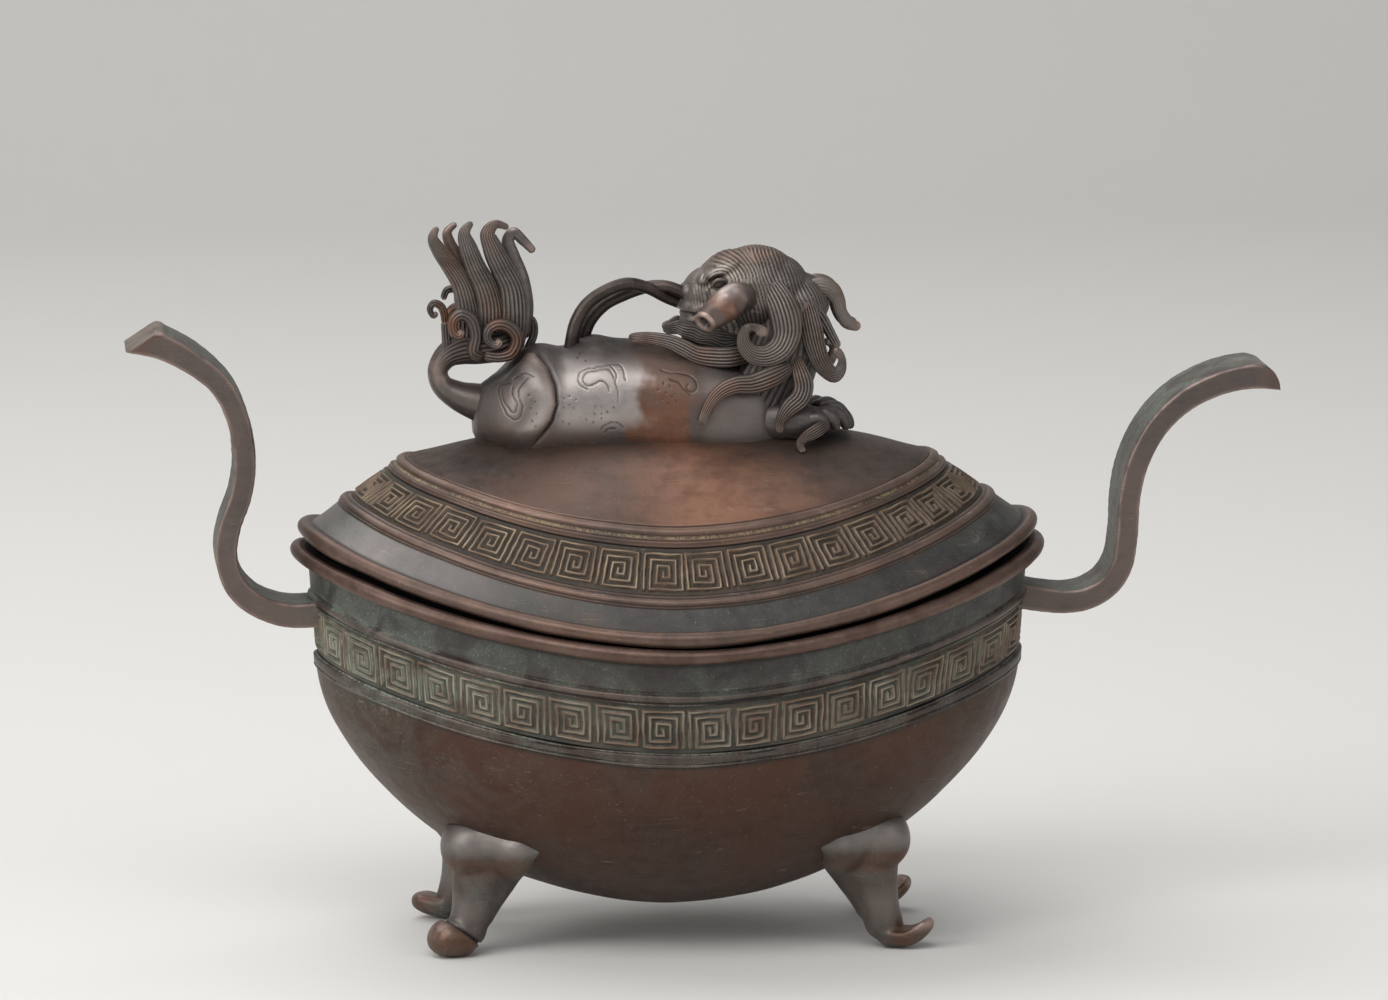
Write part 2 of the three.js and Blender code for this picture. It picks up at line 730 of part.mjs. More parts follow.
const MANE_LOCKS = {
  mane_curl: [
    [27.5, -12.5, 43], [30.3, -14, 36.7], [31.6, -15, 29.5], [29.8, -15.5, 23.2],
    [25.6, -15.5, 21], [20.8, -15.5, 22.6], [19.2, -15.5, 26.6], [21.2, -15.5, 29.2],
    [24, -15.5, 27.6],
  ],
  mane_hook: [
    [34.9, -9, 43], [35.6, -10.5, 36.3], [39.4, -11.5, 25.7], [41.2, -11.5, 16.8],
    [44.3, -11.5, 12.4], [47.5, -11.5, 14.8], [48.1, -11.5, 20.4], [46.9, -11.5, 22.6],
  ],
  mane_horn: [
    [35, -4.5, 42], [41.2, -5, 41.2], [46.2, -5.5, 38.5], [48.2, -5.5, 32.8],
    [49.6, -5.5, 28.8], [53, -5.5, 27.5],
  ],
  mane_shoulder: [
    [32.8, -15.5, 15.6], [25.4, -17.5, 13], [17.5, -18.6, 11.5], [12.7, -19.2, 7.9],
    [9.2, -19.4, 0.4],
  ],
  mane_chest: [[35, -13.5, 15.1], [38.1, -14.5, 9.7], [34.4, -15.5, 5.3], [31.6, -16, -1.4]],
  mane_back: [
    [27, -9.5, 17], [19.3, -10, 17.7], [10.5, -9.5, 18.2], [3.5, -8, 21.4],
    [-3.6, -6.5, 24.9], [-11, -5.5, 24.6],
  ],
  elbow_tuft: [[41, -15.4, 0], [39, -17, -3], [36.6, -19.4, -6.2], [34.2, -21, -8.4]],
};

// The ribbon's two strands lie side by side, as [x, height above the crown].
const RIBBON_ROUTES = [
  [[-28, 22], [-25.6, 31.4], [-21.5, 36], [-16, 39], [-10.5, 39.4], [-5, 37], [0, 33.5], [5, 31]],
  [[-25, 22], [-22.6, 29.5], [-18.5, 33], [-13, 35.4], [-7.7, 36.8], [-2.2, 38.4], [5, 34.5]],
];

// Half width and half thickness of the locks at their roots and tips
const MANE_TAPER = [[3.4, 3], [1.6, 1.2]];
const PLUME_TAPER = [[5, 3.5], [1.8, 1.3]];
const STEM_TAPER = [[2, 1.6], [2, 1.4]];

const crown = lidRim + LID_RISE;
const lengthStretch = LION_BODY_LENGTH / (TORSO.at(-1)[0] - TORSO[0][0]);
const widthStretch = LION_WIDTH / (2 * Math.max(...TORSO.map((station) => station[3])));

// Brings what is drawn to the lion's size and sets it on the crown of the lid.
function onCrown(stations) {
  return stations.map(([x, y, height, width, thickness]) => [
    x * lengthStretch,
    y * widthStretch,
    crown + height * lengthStretch,
    width * widthStretch,
    thickness * lengthStretch,
  ]);
}

// Gives every point of a route its half width and half thickness, which shrink steadily
// from the root to the tip.
function tapered(route, [root, tip]) {
  return route.map((point, i) => {
    const along = i / (route.length - 1);
    return [...point, ...root.map((size, k) => size + (tip[k] - size) * along ** 2)];
  });
}

// The other side's copy of what is drawn for the front.
function mirrored(stations) {
  return stations.map(([x, y, ...rest]) => [x, -y, ...rest]);
}

const SCROLL_STEPS = 9;
const SCROLL_TURNS = 0.95;
const SCROLL_START = -1.4;
const SCROLL_DRAWN_IN = 0.62;
const SCROLL_WIDENING = 1.5;
const SCROLL_THINNING = 0.4;

// A curl that winds in round its centre [x, y, height] and gets thinner on its way.
function scroll([x, y, height], radius, thickness) {
  return Array.from({ length: SCROLL_STEPS }, (_, i) => {
    const along = i / (SCROLL_STEPS - 1);
    const angle = SCROLL_START + along * SCROLL_TURNS * 2 * Math.PI;
    const reach = (radius - thickness) * (1 - SCROLL_DRAWN_IN * along);
    return [
      x + reach * Math.cos(angle),
      y,
      height + reach * Math.sin(angle),
      thickness * SCROLL_WIDENING,
      thickness * (1 - SCROLL_THINNING * along),
    ];
  });
}

const TAIL_CURLS = [
  scroll([-57, -7.4, 27.5], 4.8, 1.9),
  scroll([-46, -7.8, 24.8], 5.3, 2),
  scroll([-64.4, -1.5, 31.2], 3.6, 1.3),
  scroll([-57, 7.4, 27.5], 4.8, 1.9),
  scroll([-46, 7.8, 24.8], 5.3, 2),
];

// A strand of the ribbon, beside the middle of the lion on the side given.
function ribbonStations(route, toSide) {
  return route.map(([x, height]) => [
    x * lengthStretch,
    toSide * (RIBBON_RADIUS + SEAM),
    crown + height * lengthStretch,
    RIBBON_RADIUS,
    RIBBON_RADIUS,
  ]);
}

function maneForms() {
  return Object.entries(MANE_LOCKS).flatMap(([name, route]) => {
    const lock = tapered(route, MANE_TAPER);
    const options = { steps: Math.ceil(route.length * 1.6), sides: 6 };
    return [
      [`${name}_front`, onCrown(lock), options],
      [`${name}_far`, onCrown(mirrored(lock)), options],
    ];
  });
}

// Every form of the lion in the order in which they are fitted: each is cut back to a
// seam where it meets one that is already there.
function lionForms() {
  return [
    ["lion_body", onCrown(TORSO), { steps: 12, sides: 14 }],
    ["lion_neck", onCrown(NECK), { steps: 7, sides: 12 }],
    ["lion_head", onCrown(HEAD), { steps: 12, sides: 14 }],
    ["foreleg_front", onCrown(FORELEG), { steps: 10 }],
    ["foreleg_back", onCrown(mirrored(FORELEG)), { steps: 10 }],
    ["tail_root", onCrown(TAIL_ROOT), { steps: 14 }],
    ...PLUME_LOCKS.map((route, i) => [
      `plume_lock_${i + 1}`,
      onCrown(tapered(route, PLUME_TAPER)),
      { steps: 8, sides: 6 },
    ]),
    ...TAIL_CURLS.map((curl, i) => [`tail_curl_${i + 1}`, onCrown(curl), { steps: 12, sides: 6 }]),
    ["tail_curl_stem", onCrown(tapered(CURL_STEM, STEM_TAPER)), { steps: 4, sides: 6 }],
    ...RIBBON_ROUTES.map((route, i) => [
      `ribbon_strand_${i + 1}`,
      ribbonStations(route, i === 0 ? -1 : 1),
      { steps: 14 },
    ]),
    ["ear_front", onCrown(EAR), { steps: 6 }],
    ["ear_back", onCrown(mirrored(EAR)), { steps: 6 }],
    ["beard", onCrown(BEARD), { steps: 5 }],
    ...maneForms(),
  ];
}

// The lion is cast hollow, and its hollow opens downwards into the lid.
function lionHollow() {
  const narrowed = onCrown(TORSO.slice(2, 7)).map(([x, y, z, width, thickness]) => [
    x,
    y,
    z,
    Math.max(width - LION_WALL, 1),
    Math.max(thickness - LION_WALL, 1),
  ]);
  return bar(narrowed, { steps: 8, sides: 12 }).add(vent(crown, 4 * LION_WALL));
}

function lionPieces(filledLid) {
  const pieces = [];
  const fitted = [filledLid];
  for (const [name, stations, options] of lionForms()) {
    let solid = bar(stations, options);
    for (const earlier of fitted) {
      solid = solid.subtract(earlier);
    }
    if (name === "lion_body") {
      solid = solid.subtract(lionHollow());
    }
    pieces.push([name, largestBody(solid)]);
    fitted.push(bar(stations, { ...options, grow: SEAM }));
  }
  return pieces;
}

// Assembly

function addPiece(parent, name, solid, color, roughness) {
  const material = new THREE.MeshStandardMaterial({ color, roughness, metalness: 0.85 });
  const mesh = new THREE.Mesh(geometryOf(solid), material);
  mesh.name = name;
  parent.add(mesh);
}

function buildVessel() {
  const vessel = new THREE.Group();
  const filled = bowlFilled();
  const leftLine = strapLine(LEFT_STRAP, LEFT_STRAP_RISE, -1);
  const rightLine = strapLine(RIGHT_STRAP, RIGHT_STRAP_RISE, 1);
  const bowl = bowlSolid().subtract(tenon(leftLine, -1, SEAM)).subtract(tenon(rightLine, 1, SEAM));
  addPiece(vessel, "bowl", bowl, BRONZE_BELLY, 0.5);
  addPiece(vessel, "handle_left", handleSolid(leftLine, -1, filled), BRONZE_DARK, 0.45);
  addPiece(vessel, "handle_right", handleSolid(rightLine, 1, filled), BRONZE_DARK, 0.45);
  for (const [depthName, toY] of [["front", -1], ["back", 1]]) {
    for (const [sideName, toX] of [["left", -1], ["right", 1]]) {
      const foot = footSolid(toX, toY, filled);
      addPiece(vessel, `foot_${depthName}_${sideName}`, foot, BRONZE_DARK, 0.5);
    }
  }
  return vessel;
}

function buildCover() {
  const cover = new THREE.Group();
  addPiece(cover, "lid", lidSolid(), BRONZE_LID, 0.5);
  for (const [name, solid] of lionPieces(lidFilled())) {
    addPiece(cover, name, solid, BRONZE_LION, 0.45);
  }
  return cover;
}

const group = new THREE.Group();
group.add(buildVessel(), buildCover());

// The handles reach out unequally, so the whole is moved to stand over the middle of its box.
const box = new THREE.Box3().setFromObject(group, true);
group.position.set(-(box.min.x + box.max.x) / 2, -(box.min.y + box.max.y) / 2, -box.min.z);

export default group;
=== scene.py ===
"""The looks of a lidded bronze incense burner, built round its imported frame.

Shapes are worked out in millimetres from the middle of the bowl, with +Z up and the front
looking to -Y, and become metres when a piece is made.
"""

import math

import bpy
import numpy as np
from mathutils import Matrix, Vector


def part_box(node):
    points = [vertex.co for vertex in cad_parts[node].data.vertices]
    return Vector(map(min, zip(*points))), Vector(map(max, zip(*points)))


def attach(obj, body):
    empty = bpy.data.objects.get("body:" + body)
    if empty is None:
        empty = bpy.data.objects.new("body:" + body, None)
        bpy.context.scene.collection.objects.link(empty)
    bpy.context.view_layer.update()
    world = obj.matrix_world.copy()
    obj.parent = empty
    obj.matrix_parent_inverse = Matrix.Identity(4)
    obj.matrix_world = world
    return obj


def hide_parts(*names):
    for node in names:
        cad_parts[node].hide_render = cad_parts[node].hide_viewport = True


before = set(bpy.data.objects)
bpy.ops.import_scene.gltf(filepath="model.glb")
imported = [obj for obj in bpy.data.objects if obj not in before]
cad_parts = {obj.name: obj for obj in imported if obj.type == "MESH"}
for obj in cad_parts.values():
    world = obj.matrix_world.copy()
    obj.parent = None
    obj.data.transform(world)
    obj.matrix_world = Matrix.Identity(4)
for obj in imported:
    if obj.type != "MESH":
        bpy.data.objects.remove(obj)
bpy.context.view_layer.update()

MM = 0.001
bowl_low, bowl_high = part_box("bowl")
VESSEL_X = (bowl_low.x + bowl_high.x) / 2

# Bowl, as the solids have it
BOWL_HALF_LENGTH = 97
BOWL_HALF_DEPTH = 60
BOWL_WALL = 2.8
BOWL_UNDERSIDE = 10
BELLY_HEIGHT = 48
BELLY_FULLNESS = 0.63
BAND_FOOT = 58
BOWL_RIM = 88.9
NECK_FLARE = 2.4
BOWL_SADDLE = 20.4
BAND_LIFT = BOWL_SADDLE * 0.93
SADDLE_SHARPNESS = 1.8
ROLL_RADIUS = 2.1
ROLL_PROUD = 2.52

# Lid: share of the half size, share of the rise, share of the saddle
LID_SHAPE = [
    (1, 0, 1), (0.95, 0.075, 0.98), (0.9, 0.16, 0.955), (0.81, 0.37, 0.78), (0.72, 0.576, 0.58),
    (0.66, 0.65, 0.494), (0.55, 0.761, 0.386), (0.42, 0.865, 0.24), (0.28, 0.945, 0.105),
    (0.14, 0.985, 0.03), (0.02, 1, 0),
]
LID_RIM = 93.4
LID_RISE = 48.6
LID_SADDLE = 22.2
LID_HALF_LENGTH = 100
LID_HALF_DEPTH = 63.6
LID_WALL = 2.8
FLANGE_DEPTH = 6
FLANGE_WALL = 2.2
FLANGE_CLEARANCE = 1.2
VENT_RADIUS = 6
CROWN = LID_RIM + LID_RISE

# Steps round the ovals, and the uneven cast surface that shell and fret share
OVAL_STEPS = 460
BOWL_UNEVEN, BOWL_SEED = 0.28, 5
LID_UNEVEN, LID_SEED = 0.3, 23

# Fret bands
FRET_RELIEF = 0.75
FRET_THICKNESS = 1.2
FRET_ROWS = 70
BACK_STEP = 23
CHANNEL_PROUD = -1.5
BAND_SHARE = 0.905
BAND_SPAN = 0.187
BOWL_UNITS = 40
LID_UNITS = 36


# Numbers and places


def soft_step(low, high, value):
    """0 at low, 1 at high and a soft rise between them; low may be the greater of the two."""
    share = np.clip((value - low) / (high - low), 0, 1)
    return share * share * (3 - 2 * share)


def bump_at(middle, reach, value):
    """1 at the middle, falling softly to 0 a reach away on both sides."""
    return 1 - soft_step(0, reach, np.abs(value - middle))


def waves(places, wavelength, seed):
    """A smooth, uneven field from about -1 to 1, as cast metal wanders."""
    draw = np.random.default_rng(seed)
    total = np.zeros(places.shape[:-1])
    for _ in range(7):
        heading = draw.normal(size=places.shape[-1])
        heading *= draw.uniform(0.6, 1.5) * 2 * math.pi / (wavelength * np.linalg.norm(heading))
        total += np.sin(places @ heading + draw.uniform(0, 2 * math.pi))
    return total / 3.5


def smooth_line(points, count):
    """Even steps along a smooth line through points, which may carry sizes after x, y, z."""
    points = np.array(points, float)
    steps = np.sqrt(np.linalg.norm(np.diff(points[:, :3], axis=0), axis=1))
    knots = np.concatenate([[0], np.cumsum(steps)])
    slopes = np.diff(points, axis=0) / steps[:, None]
    inner = (slopes[:-1] * steps[1:, None] + slopes[1:] * steps[:-1, None])
    inner /= (steps[:-1] + steps[1:])[:, None]
    tangents = np.vstack([slopes[:1], inner, slopes[-1:]])
    at = np.linspace(0, knots[-1], 12 * len(points))
    cell = np.clip(np.searchsorted(knots, at, side="right") - 1, 0, len(steps) - 1)
    span = steps[cell][:, None]
    t = (at[:, None] - knots[cell][:, None]) / span
    dense = (
        points[cell] * (2 * t**3 - 3 * t**2 + 1)
        + tangents[cell] * span * (t**3 - 2 * t**2 + t)
        + points[cell + 1] * (3 * t**2 - 2 * t**3)
        + tangents[cell + 1] * span * (t**3 - t**2)
    )
    run = np.concatenate([[0], np.cumsum(np.linalg.norm(np.diff(dense[:, :3], axis=0), axis=1))])
    even = np.linspace(0, run[-1], count)
    return np.column_stack([np.interp(even, run, column) for column in dense.T])


def distance_to_line(places, line):
    """How far each place of a plane lies from a line of straight runs."""
    nearest = np.full(places.shape[:-1], np.inf)
    line = np.array(line, float)
    for start, end in zip(line[:-1], line[1:]):
        run = end - start
        along = np.clip(((places - start) @ run) / (run @ run), 0, 1)
        away = places - (start + along[..., None] * run)
        nearest = np.minimum(nearest, np.hypot(away[..., 0], away[..., 1]))
    return nearest


def inside_outline(places, outline):
    """Which places of a plane lie inside a closed outline."""
    within = np.zeros(places.shape[:-1], bool)
    x, y = places[..., 0], places[..., 1]
    for (ax, ay), (bx, by) in zip(outline, outline[1:] + outline[:1]):
        crosses = (ay > y) != (by > y)
        within ^= crosses & (x < (bx - ax) * (y - ay) / ((by - ay) or 1e-9) + ax)
    return within


# Meshes


def grid_faces(rows, columns, closed):
    """Quads between the rows of a grid whose columns go all the way round."""
    row = np.arange(rows if closed else rows - 1)[:, None]
    column = np.arange(columns)[None, :]
    above, beside = (row + 1) % rows, (column + 1) % columns
    corners = [
        row * columns + column,
        row * columns + beside,
        above * columns + beside,
        above * columns + column,
    ]
    return np.stack([corner.reshape(-1) for corner in corners], axis=1).tolist()


def ring_mesh(grid):
    """A closed ring: its last row joins its first."""
    rows, columns = grid.shape[:2]
    return grid.reshape(-1, 3), grid_faces(rows, columns, True)


def tube_mesh(grid):
    """A closed tube: a fan closes each end."""
    rows, columns = grid.shape[:2]
    count = rows * columns
    points = np.vstack([grid.reshape(-1, 3), grid[0].mean(0), grid[-1].mean(0)])
    faces = grid_faces(rows, columns, False)
    for i in range(columns):
        beside = (i + 1) % columns
        faces.append([count, beside, i])
        faces.append([count + 1, count - columns + i, count - columns + beside])
    return points, faces


def turned_outward(points, faces):
    """The faces, turned over if they look into the solid."""
    volume = 0.0
    for corner in (1, 2):
        picked = [(f[0], f[corner], f[corner + 1]) for f in faces if len(f) > corner + 1]
        a, b, c = points[np.array(picked).T]
        volume += np.einsum("ij,ij->", a, np.cross(b, c))
    return faces if volume > 0 else [face[::-1] for face in faces]


def edges_of(mesh):
    ends = np.zeros(2 * len(mesh.edges), np.int32)
    mesh.edges.foreach_get("vertices", ends)
    return ends.reshape(-1, 2)


def relaxed(points, edges, rounds):
    """The points after each has moved towards its neighbours a number of times."""
    count = len(points)
    from_points = edges.ravel()
    to_points = edges[:, ::-1].ravel()
    neighbours = np.bincount(from_points, minlength=count)[:, None]
    for _ in range(rounds):
        total = np.column_stack([
            np.bincount(from_points, weights=column[to_points], minlength=count)
            for column in points.T
        ])
        points = (points + total / neighbours) / 2
    return points


def normals_of(mesh):
    normals = np.zeros(3 * len(mesh.vertices), np.float32)
    mesh.vertices.foreach_get("normal", normals)
    return normals.reshape(-1, 3)


def set_layer(mesh, name, values):
    """Keeps one number for every point, for the finish to use."""
    layer = mesh.attributes.new(name, "FLOAT", "POINT")
    layer.data.foreach_set("value", np.asarray(values, np.float32).reshape(-1))


def measure_relief(mesh, points, rounds, reach):
    """Keeps how far each point stands out of, or lies deep in, what is around it."""
    stand = relaxed(points, edges_of(mesh), rounds)
    height = ((points - stand) * normals_of(mesh)).sum(1)
    set_layer(mesh, "crest", soft_step(0, reach, height))
    set_layer(mesh, "hollow", soft_step(0, reach, -height))


def make_piece(name, body, slot, finish, shape, replaces=(), layers=None, rounds=10, reach=0.12):
    """One piece of the burner, from points in millimetres and faces."""
    points, faces = shape
    faces = turned_outward(points, faces)
    mesh = bpy.data.meshes.new(name)
    mesh.from_pydata(points.tolist(), [], faces)
    mesh.update()
    measure_relief(mesh, points, rounds, reach)
    for layer, values in (layers or {}).items():
        padded = np.zeros(len(points))
        values = np.asarray(values, float).reshape(-1)
        padded[: len(values)] = values
        set_layer(mesh, layer, padded)
    placed = points * MM + np.array([VESSEL_X, 0, 0])
    mesh.vertices.foreach_set("co", placed.astype(np.float32).reshape(-1))
    mesh.polygons.foreach_set("use_smooth", [True] * len(mesh.polygons))
    mesh.update()
    mesh.materials.append(finish)
    piece = bpy.data.objects.new(name, mesh)
    bpy.context.scene.collection.objects.link(piece)
    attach(piece, body)
    if replaces:
        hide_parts(*replaces)
    return piece


def make_lion_piece(name, *args, **options):
    return make_piece(name, "cover", "lion_bronze", *args, **options)


def egg(centre, radii, tilt=0):
    """A closed egg, tilted in the plane of the long side."""
    turns = np.linspace(0, 2 * math.pi, 28, endpoint=False)
    climbs = np.linspace(-1.5, 1.5, 18)
    x = np.cos(climbs)[:, None] * np.cos(turns)[None, :] * radii[0]
    y = np.cos(climbs)[:, None] * np.sin(turns)[None, :] * radii[1]
    z = np.sin(climbs)[:, None] * np.ones_like(turns)[None, :] * radii[2]
    slant, level = math.sin(tilt), math.cos(tilt)
    return tube_mesh(np.stack([x * level - z * slant, y, x * slant + z * level], axis=2) + centre)


def mirrored(shape):
    """The same shape on the other side of the long middle plane."""
    points, faces = shape
    return points * [1, -1, 1], faces


def fused(shapes, voxel, rounds):
    """Melts closed shapes into one skin and evens out the seams between them."""
    all_points, all_faces = [], []
    for points, faces in shapes:
        start = sum(len(p) for p in all_points)
        faces = turned_outward(points, faces)
        all_points.append(points)
        all_faces += [[start + i for i in face] for face in faces]
    mesh = bpy.data.meshes.new("fused")
    mesh.from_pydata(np.vstack(all_points).tolist(), [], all_faces)
    holder = bpy.data.objects.new("fused", mesh)
    bpy.context.scene.collection.objects.link(holder)
    remesh = holder.modifiers.new("skin", "REMESH")
    remesh.mode = "VOXEL"
    remesh.voxel_size = voxel
    bpy.context.view_layer.update()
    graph = bpy.context.evaluated_depsgraph_get()
    skin = bpy.data.meshes.new_from_object(holder.evaluated_get(graph))
    points = np.zeros(3 * len(skin.vertices), np.float32)
    skin.vertices.foreach_get("co", points)
    points = relaxed(points.reshape(-1, 3).astype(float), edges_of(skin), rounds)
    faces = [list(polygon.vertices) for polygon in skin.polygons]
    bpy.data.objects.remove(holder)
    bpy.data.meshes.remove(mesh)
    bpy.data.meshes.remove(skin)
    return points, faces


def point_normals(points, faces):
    """Unit normals at the points of a closed skin of quads."""
    corners = points[np.array(faces)]
    across = np.cross(corners[:, 2] - corners[:, 0], corners[:, 3] - corners[:, 1])
    normals = np.zeros_like(points)
    for k in range(4):
        np.add.at(normals, np.array(faces)[:, k], across)
    return normals / np.linalg.norm(normals, axis=1, keepdims=True)


# Sweeps


def frames_along(line, facing):
    """The unit tangents of a line, and the two directions square to them: facing and across."""
    tangent = np.gradient(line[:, :3], axis=0)
    tangent /= np.linalg.norm(tangent, axis=1, keepdims=True)
    facing = np.broadcast_to(np.array(facing, float), tangent.shape)
    outward = facing - (facing * tangent).sum(1, keepdims=True) * tangent
    outward /= np.linalg.norm(outward, axis=1, keepdims=True)
    return tangent, outward, np.cross(tangent, outward)


def rounded_ends(line, sizes, root=False):
    """How much of its full section each step keeps, so that the tip ends in a round."""
    steps = np.linalg.norm(np.diff(line[:, :3], axis=0), axis=1)
    run = np.concatenate([[0], np.cumsum(steps)])
    left = np.clip((run[-1] - run) / sizes[-1], 0, 1)
    keep = np.sqrt(np.maximum(1 - (1 - left) ** 2, 0.0004))
    if root:
        start = np.clip(run / sizes[0], 0, 1)
        keep *= np.sqrt(np.maximum(1 - (1 - start) ** 2, 0.0004))
    return keep


def swept(line, outward, across, out, side):
    """Points set off from each step of a line, by so much outward and so much across."""
    return (
        line[:, None, :3]
        + out[..., None] * outward[:, None, :]
        + side[..., None] * across[:, None, :]
    )


def hair_lock(route, facing, grooves=8, steps=110, flatness=0.62, cut=0.4):
    """A lock of hair along a route of (x, y, height above the crown, half width), and its grooves."""
    line = smooth_line(route, steps)
    line[:, 2] += CROWN
    width = line[:, 3]
    _, outward, across = frames_along(line, facing)
    keep = rounded_ends(line, width, root=True)
    turns = np.concatenate([
        np.linspace(0, math.pi, 76, endpoint=False),
        np.linspace(math.pi, 2 * math.pi, 20, endpoint=False),
    ])
    sideways, out = np.cos(turns), np.sin(turns)
    lines = np.abs(np.sin(math.pi * grooves * (sideways + 1) / 2)) ** 0.75
    grooved = cut * (1 - lines) * (out > 0)
    depth = width * flatness
    fade = np.clip(width / width.max(), 0.55, 1)
    reach_out = (keep * depth)[:, None] * out[None, :] - (keep * fade)[:, None] * grooved[None, :]
    reach_side = (keep * width)[:, None] * sideways[None, :]
    grid = swept(line, outward, across, reach_out, reach_side)
    return grid, np.outer(soft_step(0, 0.5, keep), (1 - lines) * (out > 0)) * min(1, cut * 2.5)


def round_bar(route, facing, sides=24, steps=80, flatness=1.0, root=True):
    """A smooth bar along a route of (x, y, z, half width), with rounded ends."""
    line = smooth_line(route, steps)
    _, outward, across = frames_along(line, facing)
    keep = rounded_ends(line, line[:, 3], root)
    turns = np.linspace(0, 2 * math.pi, sides, endpoint=False)
    size = (keep * line[:, 3])[:, None]
    return swept(line, outward, across, size * np.cos(turns) * flatness, size * np.sin(turns))


def above_crown(route):
    """A route whose heights count from the crown of the lid, with heights from the floor."""
    return [(x, y, height + CROWN, *sizes) for x, y, height, *sizes in route]


# Ovals that rise towards the two ends


def even_angles(count, half_length, half_depth):
    """Angles round an oval whose points lie at even steps along it."""
    dense = np.linspace(0, 2 * math.pi, 7200)
    x, y = half_length * np.cos(dense), half_depth * np.sin(dense)
    run = np.concatenate([[0], np.cumsum(np.hypot(np.diff(x), np.diff(y)))])
    return np.interp(np.linspace(0, run[-1], count, endpoint=False), run, dense)


def saddle(angles):
    return np.abs(np.cos(angles)) ** SADDLE_SHARPNESS


def oval_grid(stations, angles):
    """A row of points for each station: half length, half depth, height and saddle lift."""
    length, depth, height, lift = np.array(stations, float).T[:, :, None]
    return np.stack([
        length * np.cos(angles),
        depth * np.sin(angles),
        height + lift * saddle(angles),
    ], axis=2)


def oval_normals(grid):
    """Unit normals of rows that climb and columns that go round to the left."""
    climb = np.gradient(grid, axis=0)
    round_oval = np.roll(grid, -1, axis=1) - np.roll(grid, 1, axis=1)
    normals = np.cross(round_oval, climb)
    return normals / np.linalg.norm(normals, axis=2, keepdims=True)


def hand_finish(grid, amount, seed):
    """Moves a cast surface a little, as no two places of it came out alike."""
    return waves(grid, 46, seed) * amount + waves(grid, 17, seed + 1) * amount * 0.3


# Bowl


def neck_station(height, proud):
    climb = (height - BAND_FOOT) / (BOWL_RIM - BAND_FOOT)
    flare = NECK_FLARE * climb + proud
    lift = BAND_LIFT + (BOWL_SADDLE - BAND_LIFT) * climb
    return BOWL_HALF_LENGTH + flare, BOWL_HALF_DEPTH + flare, height, lift


def belly_station(turn, proud):
    share = math.sin(turn)
    climb = 1 - math.cos(turn) ** (2 * BELLY_FULLNESS)
    return (
        (BOWL_HALF_LENGTH + proud) * share,
        (BOWL_HALF_DEPTH + proud) * share,
        BOWL_UNDERSIDE - proud + (BELLY_HEIGHT + proud) * climb,
        BAND_LIFT * climb,
    )


# Height and how far it stands proud, from the foot of the fret band to the neck
BOWL_MOULDINGS = [
    (58.0, 0.05), (58.12, 0.5), (58.45, 0.72), (58.78, 0.5), (58.92, 0.12), (59.05, 0.35),
    (59.15, 0.58), (59.6, 0.64), (60.4, 0.62), (61.0, 0.62), (61.2, 0.5), (61.3, 0.05),
    (61.45, -0.18), (61.68, -0.2), (61.78, -0.5), (61.82, CHANNEL_PROUD),
    (64.0, CHANNEL_PROUD), (68.4, CHANNEL_PROUD), (73.0, CHANNEL_PROUD),
    (74.98, CHANNEL_PROUD), (75.02, -0.4), (75.1, 0.2), (75.3, 0.36), (75.5, 0.2), (75.62, 0.0),
    (75.8, 0.05), (75.95, 0.4), (76.25, 0.74), (76.7, 0.9), (77.2, 0.92), (77.65, 0.74),
    (77.95, 0.4), (78.1, 0.05), (78.25, -0.22), (78.5, -0.24), (78.7, -0.1), (78.95, 0.0),
]
BOWL_FRET_FOOT = 61.82
BOWL_FRET_TOP = 74.98
ROLL_TURNS = np.radians(np.linspace(-125, 150, 16))
MINT_LINES = (58.98, 61.5, 75.25, 78.35)


def bowl_outside():
    belly = [belly_station(turn, 0) for turn in np.linspace(0.01, 1.54, 64)]
    bands = [neck_station(height, proud) for height, proud in BOWL_MOULDINGS]
    neck = [neck_station(height, 0) for height in np.linspace(79.6, 86.9, 10)]
    roll = [
        neck_station(BOWL_RIM, ROLL_PROUD + ROLL_RADIUS * math.cos(turn))[:2]
        + (BOWL_RIM + ROLL_RADIUS * math.sin(turn), BOWL_SADDLE)
        for turn in ROLL_TURNS
    ]
    return belly, bands, neck, roll


def bowl_inside():
    lip = [(89.95, 0.3), (90.0, -1.6), (89.7, -2.4), (88.9, -BOWL_WALL)]
    wall = [(height, -BOWL_WALL) for height in np.linspace(87, BAND_FOOT, 10)]
    belly = [belly_station(turn, -BOWL_WALL) for turn in np.linspace(1.5, 0.01, 40)]
    return [neck_station(height, proud) for height, proud in lip + wall] + belly


